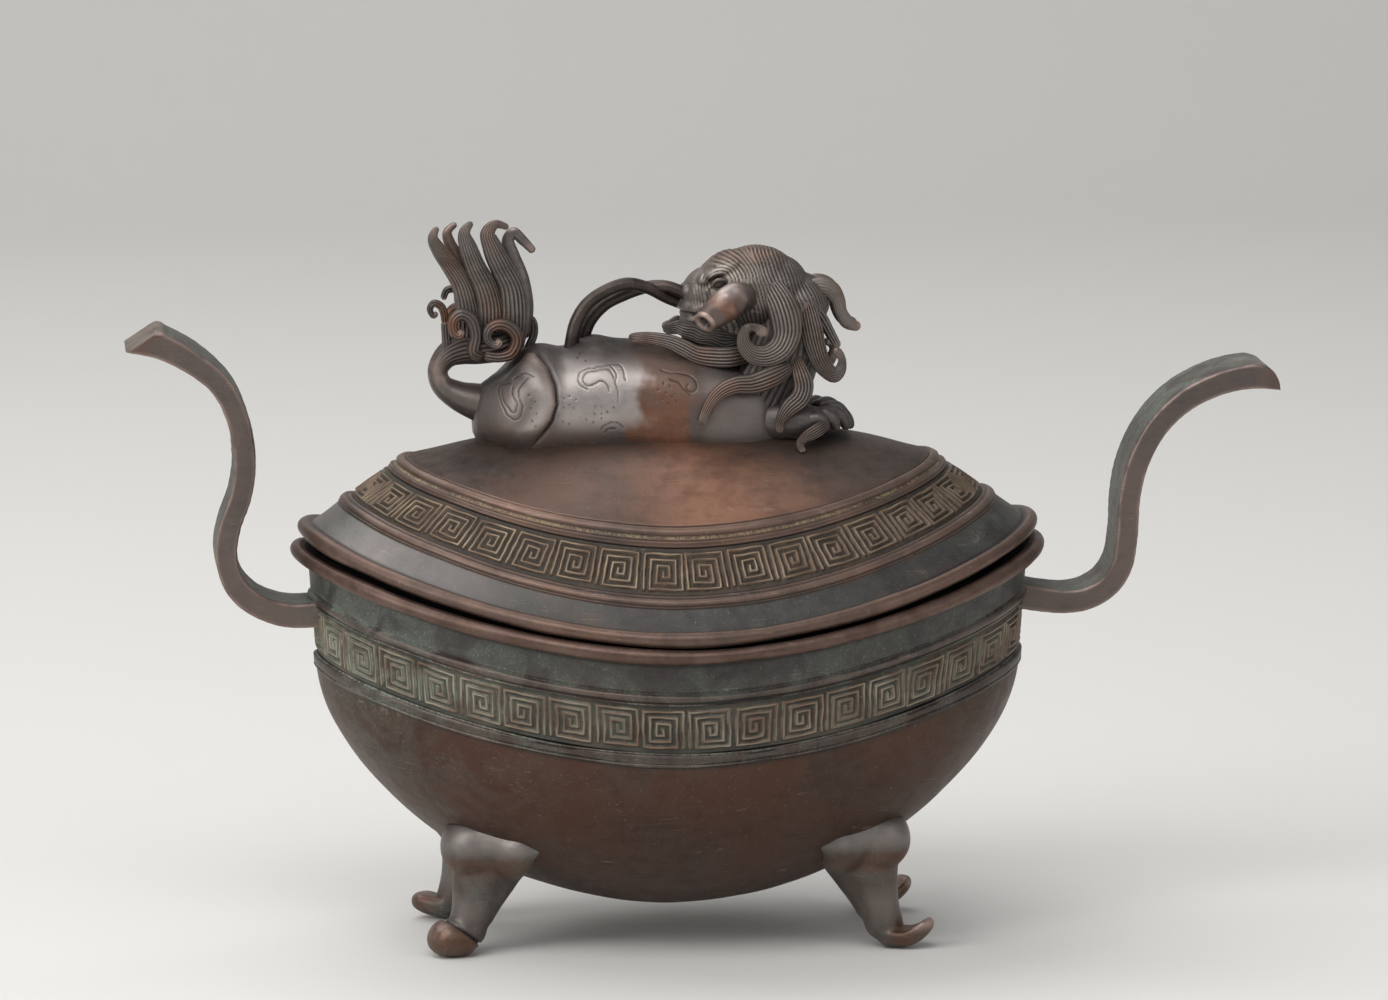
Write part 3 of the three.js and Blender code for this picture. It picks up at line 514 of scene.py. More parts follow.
def build_bowl(finish):
    """The bowl with its mouldings and its rolled rim, hollow as the real one is."""
    belly, bands, neck, roll = bowl_outside()
    stations = belly + bands + neck + roll + bowl_inside()
    angles = even_angles(OVAL_STEPS, BOWL_HALF_LENGTH, BOWL_HALF_DEPTH)
    grid = oval_grid(stations, angles)
    outside = len(belly) + len(bands) + len(neck) + len(roll)
    normals = oval_normals(grid[:outside])
    amount = np.full(outside, BOWL_UNEVEN)
    amount[-len(roll):] = 0.2
    uneven = hand_finish(grid[:outside], 1, BOWL_SEED) * amount[:, None]
    grid[:outside] += normals * uneven[..., None]
    rows = np.arange(len(stations))
    first_band, first_neck = len(belly), len(belly) + len(bands)
    first_roll = first_neck + len(neck)
    around = np.ones(len(angles))
    rising = soft_step(0, first_band, rows)
    neck_rows = (rows >= first_neck - 6) & (rows < first_roll + 3)
    band_rows = (rows >= first_band) & (rows < first_neck)
    roll_rows = (rows >= first_roll + 2) & (rows < outside)
    left = soft_step(20, 105, -BOWL_HALF_LENGTH * np.cos(angles))
    ends = soft_step(0.75, 1, np.abs(np.cos(angles)))
    green = np.outer(neck_rows * 0.75 + band_rows * 0.6, 0.45 + 0.55 * left)
    green += np.outer(rising * (rows < first_band) * 0.3, 0.15 + left * 0.8 + ends * 0.3)
    dust = np.zeros(len(stations))
    dust[first_band:first_neck] = [
        max(bump_at(line, 0.34, height) for line in MINT_LINES)
        for height, _ in BOWL_MOULDINGS
    ]
    layers = {
        "green": green,
        "copper": np.outer(roll_rows * 0.9, around),
        "brown": np.outer((rows < first_band) * 0.85 + band_rows * 0.4 + roll_rows * 0.8, around),
        "dust": np.outer(dust, 0.45 + 0.55 * left),
        "soot": np.outer(rows >= outside, around),
    }
    make_piece("bowl_shell", "vessel", "bowl_bronze", finish, tube_mesh(grid), ["bowl"], layers,
               rounds=8, reach=0.22)


# Fret

# One unit of the square spiral, in steps of its pitch: it winds in from its left foot
SPIRAL = [
    (0, 0), (0, 6), (6, 6), (6, 0), (1, 0), (1, 5), (5, 5), (5, 1), (2, 1), (2, 4), (4, 4),
    (4, 2), (3, 2), (3, 3),
]
UNIT_PITCHES = 7
BAND_PITCHES = 8
COLUMNS_PER_UNIT = 56


def fret_relief(units, columns, rows, seed):
    """Height of the fret, 1 on its lines and 0 between them, drawn a little unevenly."""
    draw = np.random.default_rng(seed)
    along = (np.arange(columns) + 0.5) / columns * units
    up = np.linspace(0, BAND_PITCHES, rows)
    along, up = np.meshgrid(along, up)
    unit = np.floor(along).astype(int) % units
    local = (along - np.floor(along)) * UNIT_PITCHES - 0.5
    flip = draw.random(units)[unit] < 0.3
    local = np.where(flip, UNIT_PITCHES - 1 - local, local)
    lean = draw.normal(0, 0.035, units)[unit]
    shift = draw.normal(0, 0.09, (2, units))
    wander = np.stack([along * 5.0, up * 0.8], axis=2)
    x = local + shift[0][unit] + lean * (up - 4) + waves(wander, 2.6, seed + 1) * 0.07
    y = up - 1 + shift[1][unit] + waves(wander, 3.1, seed + 2) * 0.07
    places = np.stack([x, y], axis=2)
    distance = distance_to_line(places, SPIRAL)
    for beside in (UNIT_PITCHES, -UNIT_PITCHES):
        neighbour = np.stack([x + beside, y], axis=2)
        distance = np.minimum(distance, distance_to_line(neighbour, SPIRAL[:4]))
    half_line = 0.31 + 0.04 * waves(wander, 4.0, seed + 3)
    high = np.sqrt(np.clip(1 - (distance / half_line) ** 2, 0, 1))
    return high * (1 + 0.12 * waves(wander, 6.0, seed + 4)) / 1.12


def fret_faces(front, amount, seed):
    """The front of a fret band, as uneven as its shell, and a coarser back behind it."""
    front = front + oval_normals(front) * hand_finish(front, amount, seed)[..., None]
    back = front[::BACK_STEP] - oval_normals(front)[::BACK_STEP] * FRET_THICKNESS
    return front, back


def fret_strip(front_grid, back_grid, relief):
    """A closed band: the fret in front, and a plain back in its channel."""
    normals = oval_normals(front_grid)
    front = front_grid + normals * (relief * FRET_RELIEF - FRET_RELIEF + 0.05)[..., None]
    return ring_mesh(np.vstack([front, back_grid[::-1]]))


def fret_layers(relief, back_rows, green):
    back = np.zeros((back_rows, relief.shape[1]))
    return {
        "line": np.vstack([relief, back]),
        "green": np.vstack([green, back]),
    }


def build_bowl_fret(finish):
    columns = BOWL_UNITS * COLUMNS_PER_UNIT
    angles = even_angles(columns, BOWL_HALF_LENGTH, BOWL_HALF_DEPTH)
    heights = np.linspace(BOWL_FRET_FOOT, BOWL_FRET_TOP, FRET_ROWS)
    front = oval_grid([neck_station(height, 0.02) for height in heights], angles)
    front, back = fret_faces(front, BOWL_UNEVEN, BOWL_SEED)
    relief = fret_relief(BOWL_UNITS, columns, FRET_ROWS, 11)
    left = soft_step(10, 100, -BOWL_HALF_LENGTH * np.cos(angles))
    green = np.broadcast_to(0.35 + 0.65 * left, relief.shape)
    make_piece("bowl_fret", "vessel", "bowl_bronze", finish, fret_strip(front, back, relief),
               layers=fret_layers(relief, len(back), green), rounds=6, reach=0.15)


# Lid


def lid_table():
    shape = np.array(LID_SHAPE)
    dense = smooth_line(np.column_stack([shape[:, 0], shape[:, 1], shape[:, 2]]), 400)
    return dense[::-1]


LID_TABLE = lid_table()


def lid_station(share):
    climb = np.interp(share, LID_TABLE[:, 0], LID_TABLE[:, 1])
    lift = np.interp(share, LID_TABLE[:, 0], LID_TABLE[:, 2])
    height = LID_RIM + LID_RISE * climb
    return LID_HALF_LENGTH * share, LID_HALF_DEPTH * share, height, LID_SADDLE * lift


def lid_height(x, y):
    """How high the outside of the lid is over a place."""
    share = np.hypot(x / LID_HALF_LENGTH, y / LID_HALF_DEPTH)
    angles = np.arctan2(y / LID_HALF_DEPTH, x / LID_HALF_LENGTH)
    climb = np.interp(share, LID_TABLE[:, 0], LID_TABLE[:, 1])
    lift = np.interp(share, LID_TABLE[:, 0], LID_TABLE[:, 2])
    return LID_RIM + LID_RISE * climb + LID_SADDLE * lift * saddle(angles)


# Place on the way up the slope of the band, and how far it stands proud
LID_MOULDINGS = [
    (0.0, 0.0), (0.006, 0.3), (0.014, 0.42), (0.022, 0.25), (0.028, 0.1), (0.034, 0.55),
    (0.045, 0.8), (0.075, 0.86), (0.105, 0.8), (0.118, 0.6), (0.126, 0.0), (0.135, -0.25),
    (0.165, -0.25), (0.176, -0.4), (0.18, CHANNEL_PROUD), (0.3, CHANNEL_PROUD),
    (0.45, CHANNEL_PROUD), (0.6, CHANNEL_PROUD), (0.718, CHANNEL_PROUD), (0.722, -0.4),
    (0.735, 0.0), (0.758, 0.05), (0.765, 0.3), (0.775, 0.4), (0.785, 0.3), (0.792, 0.05),
    (0.815, 0.0), (0.83, -0.05), (0.848, 0.0), (0.86, 0.1), (0.868, 0.6), (0.88, 0.82),
    (0.915, 0.88), (0.95, 0.82), (0.966, 0.6), (0.975, -0.1), (0.984, -0.32), (0.993, -0.25),
    (1.0, 0.0),
]
LID_FRET_FOOT = 0.18
LID_FRET_TOP = 0.72


def band_share(way):
    return BAND_SHARE - BAND_SPAN * way


def lid_underside():
    """From the inner edge of the vent down to the flange that hangs in the bowl's mouth."""
    inside = [lid_station(share) for share in np.linspace(VENT_RADIUS / LID_HALF_LENGTH, 0.86, 40)]
    ceiling = [
        (length - 0.6 * LID_WALL * min(1, length / 20), depth - 0.6 * LID_WALL * min(1, depth / 13),
         height - 0.8 * LID_WALL, lift)
        for length, depth, height, lift in inside
    ]
    outer = neck_station(BOWL_RIM, -BOWL_WALL - FLANGE_CLEARANCE)
    inner = neck_station(BOWL_RIM, -BOWL_WALL - FLANGE_CLEARANCE - FLANGE_WALL)
    low = BOWL_RIM - FLANGE_DEPTH
    flange = [
        inner[:2] + (LID_RIM + ROLL_RADIUS, LID_SADDLE),
        inner[:2] + (low + 0.4, BOWL_SADDLE),
        ((inner[0] + outer[0]) / 2, (inner[1] + outer[1]) / 2, low, BOWL_SADDLE),
        outer[:2] + (low + 0.4, BOWL_SADDLE),
        outer[:2] + (LID_RIM - ROLL_RADIUS / 2, LID_SADDLE),
    ]
    return ceiling + flange


def build_lid(finish):
    """The domed lid: rolled rim, slope, fret band's mouldings, dome, vent and flange."""
    roll = [
        (LID_HALF_LENGTH + ROLL_RADIUS * math.cos(turn),
         LID_HALF_DEPTH + ROLL_RADIUS * math.cos(turn),
         LID_RIM + ROLL_RADIUS * math.sin(turn), LID_SADDLE)
        for turn in np.radians(np.linspace(-110, 95, 14))
    ]
    slope = [lid_station(share) for share in np.linspace(0.984, 0.909, 16)]
    bands = [lid_station(band_share(way)) for way, _ in LID_MOULDINGS]
    dome = [lid_station(share) for share in np.linspace(0.713, VENT_RADIUS / LID_HALF_LENGTH, 62)]
    angles = even_angles(OVAL_STEPS, LID_HALF_LENGTH, LID_HALF_DEPTH)
    outside = oval_grid(roll + slope + bands + dome, angles)
    first_band = len(roll) + len(slope)
    first_dome = first_band + len(bands)
    proud = np.zeros(len(outside))
    proud[first_band:first_dome] = [proud for _, proud in LID_MOULDINGS]
    amount = np.where(np.arange(len(outside)) < len(roll), 0.28, LID_UNEVEN)
    uneven = hand_finish(outside, 1, LID_SEED) * amount[:, None]
    outside += oval_normals(outside) * (proud[:, None] + uneven)[..., None]
    underside = oval_grid(lid_underside(), angles)
    grid = np.vstack([outside, underside])
    rows = np.arange(len(grid))
    around = np.ones(len(angles))
    band_rows = (rows >= first_band) & (rows < first_dome)
    dome_rows = (rows >= first_dome) & (rows < len(outside))
    slope_rows = (rows >= len(roll)) & (rows < first_band)
    middle = bump_at(0, 62, LID_HALF_LENGTH * np.cos(angles) - 18)
    dust = np.zeros(len(grid))
    dust[first_band:first_dome] = [bump_at(0.835, 0.03, way) for way, _ in LID_MOULDINGS]
    ends = soft_step(0.7, 1, np.abs(np.cos(angles)))
    left = soft_step(30, 90, -LID_HALF_LENGTH * np.cos(angles))
    right = soft_step(45, 90, LID_HALF_LENGTH * np.cos(angles))
    layers = {
        # Painted light on the left part of the slope.
        "pale": np.outer(slope_rows * 0.4, left),
        "green": np.outer(slope_rows * 0.4 + band_rows * 0.25, 0.3 + 0.7 * ends),
        "copper": np.outer((rows < len(roll)) * 0.8, around),
        # The dome's red-brown middle, made lighter there also as painted light from above.
        "brown": np.outer(dome_rows, 0.25 + 0.75 * middle)
        + np.outer(band_rows * 0.4 + (rows < len(roll)) * 0.3, around),
        "dust": np.outer(dust, around),
        # The underside is darkened; the dome gets painted shade towards both ends.
        "soot": np.outer(rows >= len(outside), around) + np.outer(dome_rows, left * 0.5 + right * 0.25),
    }
    make_piece("lid_shell", "cover", "lid_bronze", finish, ring_mesh(grid), ["lid"], layers,
               rounds=8, reach=0.22)


def build_lid_fret(finish):
    columns = LID_UNITS * COLUMNS_PER_UNIT
    angles = even_angles(columns, LID_HALF_LENGTH, LID_HALF_DEPTH)
    ways = np.linspace(LID_FRET_FOOT, LID_FRET_TOP, FRET_ROWS)
    front = oval_grid([lid_station(band_share(way)) for way in ways], angles)
    front, back = fret_faces(front, LID_UNEVEN, LID_SEED)
    relief = fret_relief(LID_UNITS, columns, FRET_ROWS, 31)
    make_piece("lid_fret", "cover", "lid_bronze", finish, fret_strip(front, back, relief),
               layers=fret_layers(relief, len(back), relief * 0), rounds=6, reach=0.15)


# Handles

# The middle line of each strap from its root: reach past the wall, height above the rim
LEFT_STRAP = [
    (-4, 3.7), (6, 3.5), (12, 5), (17.5, 8), (21.8, 13), (23.6, 20), (22.5, 28), (19.5, 37),
    (18.3, 47), (19.7, 57), (24, 66), (31, 73), (40, 78.3), (49.5, 80.6),
]
RIGHT_STRAP = [
    (-4, 6.2), (5.5, 4.5), (12, 4), (18, 5.1), (23.5, 8.5), (26.8, 14), (28, 22), (28.5, 32),
    (31, 43), (36, 52.5), (44, 60), (54, 64.8), (63, 66.5), (70, 66.2),
]
STRAP_THICKNESS = 5.8
STRAP_ROOT_WIDTH = 17.6
STRAP_TIP_WIDTH = 25.6
STRAP_END_SWELL = 0.25
# Steps along a strap, of which every third is kept but for the ones near the tip
STRAP_STEPS = 700
STRAP_END_STEPS = 60
# How far out the rings lie that close a strap's end
STRAP_CAP_SHARES = (0.97, 0.88, 0.5, 0.15)


def strap_section(half_width, half_thickness, corner):
    """A flat bar's section with rounded edges: across the width, and through the thickness."""
    turns = np.linspace(0, math.pi / 2, 7)
    flat_across = np.linspace(1, -1, 34)[1:-1]
    flat_through = np.linspace(1, -1, 12)[1:-1]
    side, through = half_width - corner, half_thickness - corner
    outline = []
    for corner_x, corner_y, start in ((1, 1, 0), (-1, 1, 1), (-1, -1, 2), (1, -1, 3)):
        angle = turns + start * math.pi / 2
        outline += list(zip(corner_x * side + corner * np.cos(angle),
                            corner_y * through + corner * np.sin(angle)))
        if start == 0:
            outline += [(side * step, half_thickness) for step in flat_across]
        if start == 1:
            outline += [(-half_width, through * step) for step in flat_through]
        if start == 2:
            outline += [(-side * step, -half_thickness) for step in flat_across]
        if start == 3:
            outline += [(half_width, -through * step) for step in flat_through]
    return np.array(outline)


def strap_surface(shape, to_side, bevel, roundness, drop):
    """A strap whose end is cut back by the bevel on top, and rounded down by a share of it.

    Gives the grid, its edges, its narrow sides, and the way along and from the tip.
    """
    wall = BOWL_HALF_LENGTH + NECK_FLARE / 2
    route = [(to_side * (wall + reach), 0, BOWL_RIM + height) for reach, height in shape]
    kept = np.r_[0:STRAP_STEPS - STRAP_END_STEPS:3, STRAP_STEPS - STRAP_END_STEPS:STRAP_STEPS]
    line = smooth_line(route, STRAP_STEPS)[kept]
    along = kept / kept[-1]
    widths = (STRAP_ROOT_WIDTH + (STRAP_TIP_WIDTH - STRAP_ROOT_WIDTH) * along) / 2
    thick = STRAP_THICKNESS / 2 * (1 + STRAP_END_SWELL * np.abs(2 * along - 1) ** 3)
    tangent, outward, across = frames_along(line, (0, 1, 0))
    top = 1 if across[-1, 2] > 0 else -1
    run = np.linalg.norm(np.diff(line[:, :3], axis=0), axis=1).sum()
    from_tip = (1 - along) * run
    corner = 0.75 + 0.7 * bump_at(0, 6, from_tip)
    over = 1 - np.clip(from_tip / roundness, 0, 1)
    rows, edge, facing = [], [], []
    for i in range(len(line)):
        section = strap_section(widths[i], thick[i], corner[i])
        upward = section[:, 1] * top / thick[i]
        lowered = (1 + upward) * thick[i] * drop * (1 - math.sqrt(1 - over[i] ** 2))
        back = (1 + upward) / 2 * bevel * bump_at(0, 12, from_tip[i])
        narrowed = 1 - 0.05 * over[i] ** 3
        rows.append(
            line[i, :3]
            + section[:, :1] * narrowed * outward[i]
            + (section[:, 1] - lowered * top)[:, None] * across[i]
            - back[:, None] * tangent[i]
        )
        off_side, off_face = widths[i] - np.abs(section[:, 0]), thick[i] - np.abs(section[:, 1])
        at_edge = np.minimum(off_side, off_face) < 0.8
        edge.append(bump_at(0, 1.1, np.maximum(off_side, off_face)) * at_edge)
        facing.append(off_side < 0.35)
    middle = rows[-1].mean(0)
    for share in STRAP_CAP_SHARES:
        rows.append(middle + (rows[len(line) - 1] - middle) * share)
        edge.append(edge[len(line) - 1] * (share > 0.9))
        facing.append(np.zeros(len(rows[0]), bool))
    more = len(rows) - len(line)
    outward, across = (np.vstack([axis, axis[-1:].repeat(more, 0)]) for axis in (outward, across))
    along, from_tip = (np.concatenate([way, way[-1:].repeat(more)]) for way in (along, from_tip))
    grid, edge, facing = np.array(rows), np.array(edge), np.array(facing, float)
    rough = (1 - facing) * (1 - edge)
    grid += waves(grid, 30, 41)[..., None] * outward[:, None, :] * 0.25
    grid += waves(grid, 24, 43)[..., None] * across[:, None, :] * 0.18
    grid += (waves(grid, 2.2, 45) * rough)[..., None] * across[:, None, :] * 0.07
    return grid, edge, facing, along, from_tip


def build_handle(name, shape, to_side, bevel, roundness, drop, finish, replaces):
    grid, edge, facing, along, from_tip = strap_surface(shape, to_side, bevel, roundness, drop)
    rough = (1 - facing) * (1 - edge)
    near_root = np.outer(bump_at(0, 0.16, along), np.ones(grid.shape[1]))
    near_tip = np.outer(soft_step(9, 1, from_tip), np.ones(grid.shape[1]))
    layers = {
        "brown": facing * 0.25 + near_tip * 0.5 + edge * 0.4,
        "green": rough * 0.8 + near_root * (0.3 + rough * 0.7),
        "tip": np.clip(edge * 0.7 + near_tip * rough * 0.3, 0, 1),
        "pale": near_tip * rough * (0.75 * drop) + facing * 0.12,
    }
    make_piece(name, "vessel", "handle_bronze", finish, tube_mesh(grid), replaces, layers,
               rounds=5, reach=0.2)


# Feet


def belly_point(share, angle):
    climb = 1 - (1 - share**2) ** BELLY_FULLNESS
    return np.array([
        BOWL_HALF_LENGTH * share * math.cos(angle),
        BOWL_HALF_DEPTH * share * math.sin(angle),
        BOWL_UNDERSIDE + (BELLY_HEIGHT + BAND_LIFT * float(saddle(angle))) * climb,
    ])


FOOT_ANGLE = 0.39
FOOT_REACH = 59.5
KNEE_SHARE = 0.681
KNEE_ANGLE = 0.586
SOLE_EDGE = 0.25


def bent_bar(route, side, hollow, sides=44, steps=56):
    """A bar along a route of (x, y, z, half width, half thickness), hollowed along its top."""
    line = smooth_line(route, steps)
    _, outward, across = frames_along(line, side)
    keep = rounded_ends(line, line[:, 3] * 0.7, root=True)
    turns = np.linspace(0, 2 * math.pi, sides, endpoint=False)
    width = keep * line[:, 3]
    lift = hollow * width[:, None] * np.cos(turns) ** 2
    through = (keep * line[:, 4])[:, None] * np.sin(turns) + lift
    return swept(line, outward, across, width[:, None] * np.cos(turns), through)


def foot_shape(toe, hollow):
    """The foot at the back right; toe is its route of (outward, height, half width, half depth)."""
    outward = np.array([math.cos(FOOT_ANGLE), math.sin(FOOT_ANGLE), 0])
    side = np.array([-outward[1], outward[0], 0])

    def at(reach, height, *sizes):
        place = outward * (FOOT_REACH + reach)
        return (place[0], place[1], height, *sizes)

    knee = egg((55.2, 23.6, 30.6), (9.6, 9.4, 9.4))
    saddle_bar = [at(-9, 38, 7), at(-6, 34, 9), at(-3.5, 29, 9.2), at(-2.2, 24.5, 8.8)]
    fan = []
    for way in (-0.15, 0.0, 0.15, 0.35, 0.6, 0.82, 1.0):
        point = belly_point(KNEE_SHARE + 0.05 * way, KNEE_ANGLE + 0.42 * way)
        sunk = 3.2 * (1 - way) + 0.4
        inward = np.array([-0.45, -0.3, 0.84]) * sunk
        fan.append(tuple(point + inward) + (9.6 * (1 - max(way, 0)) ** 0.85 + 0.9,))
    web = [tuple(belly_point(KNEE_SHARE + 0.045, KNEE_ANGLE + 0.4) + [0, 0, 1.4]) + (2.4,),
           tuple(belly_point(KNEE_SHARE + 0.01, KNEE_ANGLE + 0.28) + [0, 0, 2.2]) + (6.4,),
           at(-7.6, 25, 7.6), at(-4.8, 19.5, 6.4), at(-1.8, 13, 4.8), at(1.2, 7, 4.2)]
    shank = [at(-3.2, 29, 9.4), at(-2.0, 24, 8.6), at(-0.9, 19.5, 7.4), at(0.5, 14.5, 6.1),
             at(1.8, 9.5, 5.4), at(2.8, 5, 5.5), at(3.4, 1.8, 5.3)]
    bars = [tube_mesh(round_bar(route, side, steps=40)) for route in (saddle_bar, fan, web, shank)]
    bars.append(tube_mesh(bent_bar([at(*point) for point in toe], side, hollow)))
    points, faces = fused([knee] + bars, 0.4, 24)
    flattened = SOLE_EDGE * np.tanh(points[:, 2] / SOLE_EDGE)
    points[:, 2] = np.where(points[:, 2] < SOLE_EDGE, flattened, points[:, 2])
    points[:, 2] = np.maximum(points[:, 2], 0)
    return points, faces


def build_foot(name, node, to_x, to_y, toe, hollow, crease, finish):
    """One foot; a crease is the line (outward, height) where its toe cap meets the shank."""
    points, faces = foot_shape(toe, hollow)
    reach = points[:, 0] * math.cos(FOOT_ANGLE) + points[:, 1] * math.sin(FOOT_ANGLE) - FOOT_REACH
    height = points[:, 2]
    cap = soft_step(4, 9, reach) * soft_step(12, 8, height)
    cut = np.zeros(len(points))
    if crease:
        (low_reach, low_height), (high_reach, high_height) = crease
        length = math.hypot(high_reach - low_reach, high_height - low_height)
        off = ((high_reach - low_reach) * (height - low_height)
               - (high_height - low_height) * (reach - low_reach)) / length
        cap = soft_step(0.3, -0.5, off) * (reach > -4)
        cut = bump_at(0, 0.6, off) * (reach > -2)
        normals = point_normals(points, faces)
        points = points + normals * (0.35 * cap - 0.75 * cut)[:, None]
        points[:, 2] = np.maximum(points[:, 2], 0)
    points = points + point_normals(points, faces) * (waves(points, 9, 33) * 0.1)[:, None]
    points[:, 2] = np.maximum(points[:, 2], 0)
    # Painted highlight over the top of the knee.
    knee_highlight = bump_at(33, 6, height) * soft_step(-13, -3, reach)
    inward = -reach
    layers = {
        "brown": np.clip(cap + bump_at(25.5, 5, height) * 1.1, 0, 1),
        "green": bump_at(34, 9, height) * soft_step(4, 16, inward) * 0.9 + (0.6 if to_y > 0 else 0.3),
        "tip": np.clip(cap * bump_at(8.5, 4, height) * soft_step(7, 13, reach), 0, 1),
        # Pale: the painted knee highlight, and a lighter shank.
        "pale": knee_highlight * 0.45 + bump_at(13, 7, height) * soft_step(-3, 2, reach) * 0.2,
        "cut": cut,
    }
    points = points * [to_x, to_y, 1]
    make_piece(name, "vessel", "handle_bronze", finish, (points, faces), [node], layers,
               rounds=14, reach=0.5)


ROUND_TOE = [(0.5, 4.8, 4.6, 4.6), (4, 5.0, 5.6, 4.9), (8.4, 5.3, 5.9, 5.0), (11.6, 6.0, 5.2, 4.3),
             (13.4, 6.7, 4.0, 3.3)]
POINTED_TOE = [(1, 3.2, 5.2, 3.2), (6, 2.8, 5.6, 2.8), (10, 3.1, 5.6, 2.5), (13.2, 5.0, 5.0, 2.1),
               (15.4, 7.4, 4.0, 1.7), (16.3, 9.0, 2.8, 1.3)]
LOW_TOE = [(1, 3.4, 5.4, 3.4), (6, 3.2, 5.6, 3.1), (10, 3.6, 5.4, 3.0), (13.2, 4.8, 4.8, 2.8),
           (15.2, 6.4, 4.0, 2.4)]
HIGH_TOE = [(1, 3.4, 5.2, 3.2), (6, 3.2, 5.4, 2.8), (11, 4.0, 5.0, 2.5), (14.6, 6.4, 4.4, 2.2),
            (16.6, 9.2, 3.4, 1.8)]
TOE_CREASE = ((0.1, 3.2), (7.9, 9.3))


# Lion: heights are counted from the crown of the lid

# Place along the back, height of the middle, half width and half height
TORSO = [
    (-53.6, 3.2, 5.6, 4.2), (-52, 3.4, 9.4, 7.6), (-49, 3.6, 12.8, 9.9), (-46, 3.6, 15.0, 11.7),
    (-42, 4.2, 17.0, 14.7), (-38.5, 5.4, 17.8, 16.9), (-34.5, 6.0, 17.9, 17.2),
    (-29, 6.0, 17.4, 16.5), (-24.5, 6.8, 17.4, 17.3), (-20.5, 7.0, 17.5, 18.3),
    (-15, 6.7, 17.7, 17.8), (-8, 6.0, 17.9, 18.0), (0, 5.5, 18, 17.4), (8, 4.8, 17.9, 16.4),
    (18, 4.0, 17.0, 15.0), (25, 3.0, 15.4, 13.0), (30, 1.8, 12.0, 10.0), (33, 1.0, 8.0, 7.5),
]
HAUNCH = [
    (-39.2, -3.6), (-36.6, 0.1), (-33.5, 4.5), (-32.1, 8.9), (-32.4, 13.7), (-34.1, 18.4),
    (-36.8, 21.2), (-41.5, 21.4), (-49, 18.0), (-56, 10), (-60, -2), (-56, -14), (-41, -12),
]
CREASE = HAUNCH[:7]

# Lines cut into the haunch and the flank, as (along the back, height)
ENGRAVED_LINES = [
    [(-38.8, 15.4), (-40.7, 13.5), (-41.5, 11.8), (-41.3, 10.2), (-40.7, 8.2), (-41.3, 6.3),
     (-42.6, 4.9), (-44.3, 5.8), (-45.7, 7.7), (-46.5, 10), (-46.8, 12.2), (-45.4, 13),
     (-43.5, 13.5)],
    [(-42.6, 12.7), (-42.9, 10.7), (-42.1, 8.8), (-42.9, 6.6), (-44.6, 8), (-45.7, 10.2),
     (-45.9, 11.6)],
    [(-42.1, 14.4), (-41, 15.5), (-39, 16.3), (-37.7, 15.7)],
    [(-23.4, 12.9), (-24.8, 13.5), (-25.9, 15.2), (-25.6, 17.1), (-23.9, 18.2), (-21.5, 18.5),
     (-19, 19), (-16.8, 19.2), (-14.6, 19.2), (-13.5, 17.8), (-12.9, 15.3)],
    [(-17.6, 12.6), (-18.1, 14.2), (-19.8, 15.1), (-21.5, 14.3), (-23.4, 13.8), (-24.5, 15.2),
     (-23.9, 17.1), (-21.5, 17.6), (-18.7, 18.2), (-17, 17.6), (-16.2, 15.6)],
    [(-16.9, 18.8), (-15.5, 17.2), (-15.8, 14.4), (-15.2, 11.9), (-15.2, 9.4)],
    [(-3, 17.5), (-0.3, 16.9), (2.2, 16.6), (4.7, 16), (6.3, 14.6), (6.3, 12.7), (4.7, 11.8),
     (3.6, 13), (4.4, 14.1)],
    [(-0.8, 15.3), (1.4, 14.4), (2.8, 12.7), (4.7, 11)],
    [(-19.9, 2.1), (-18.8, 3.2), (-17.1, 4), (-15.2, 3.7), (-13.8, 2.6)],
    [(-18.8, 1.2), (-17.7, 2.1), (-16, 2.3)],
]
PUNCHED_DOTS = [
    (-39, 11.2), (-37.7, 9.8), (-38.8, 8.2), (-37.4, 6.8), (-38.5, 4.8), (-37.7, 3.2),
    (-21.4, 8.5), (-19.7, 8.5), (-16.4, 8.1), (-18.1, 6.8), (-19.7, 6.5), (-21.6, 6.5),
    (-19.7, 5.1), (-23.9, 4.9), (-21.9, 4), (-27.2, 8), (-28.3, 8.9), (-29.9, 10.6),
    (-28.3, 11.1), (-26.6, 10.2), (-29.9, 8.1), (-30.2, 4.2), (-28.5, 3.6), (-31.3, 6.1),
    (-25, 21.9), (-23.6, 20.2), (-25.8, 20.8), (-2.6, 14.3), (-0.9, 13.5), (-2, 11.8),
    (-0.4, 10.7), (-3.1, 10.2), (0.7, 9.6), (-1.5, 9), (-4.2, 12.7),
]


def engraving(places):
    """How deep the lion's flank is cut at places given as (along the back, height)."""
    wander = places + 0.12 * np.stack([waves(places, 3, 61), waves(places, 3, 62)], axis=-1)
    depth = np.zeros(places.shape[:-1])
    for line in ENGRAVED_LINES:
        routed = smooth_line([(x, height, 0) for x, height in line], 5 * len(line))[:, :2]
        depth = np.maximum(depth, bump_at(0, 0.3, distance_to_line(wander, routed)))
    for x, height in PUNCHED_DOTS:
        away = np.hypot(places[..., 0] - x, places[..., 1] - height)
        depth = np.maximum(depth, bump_at(0, 0.45, away))
    return depth


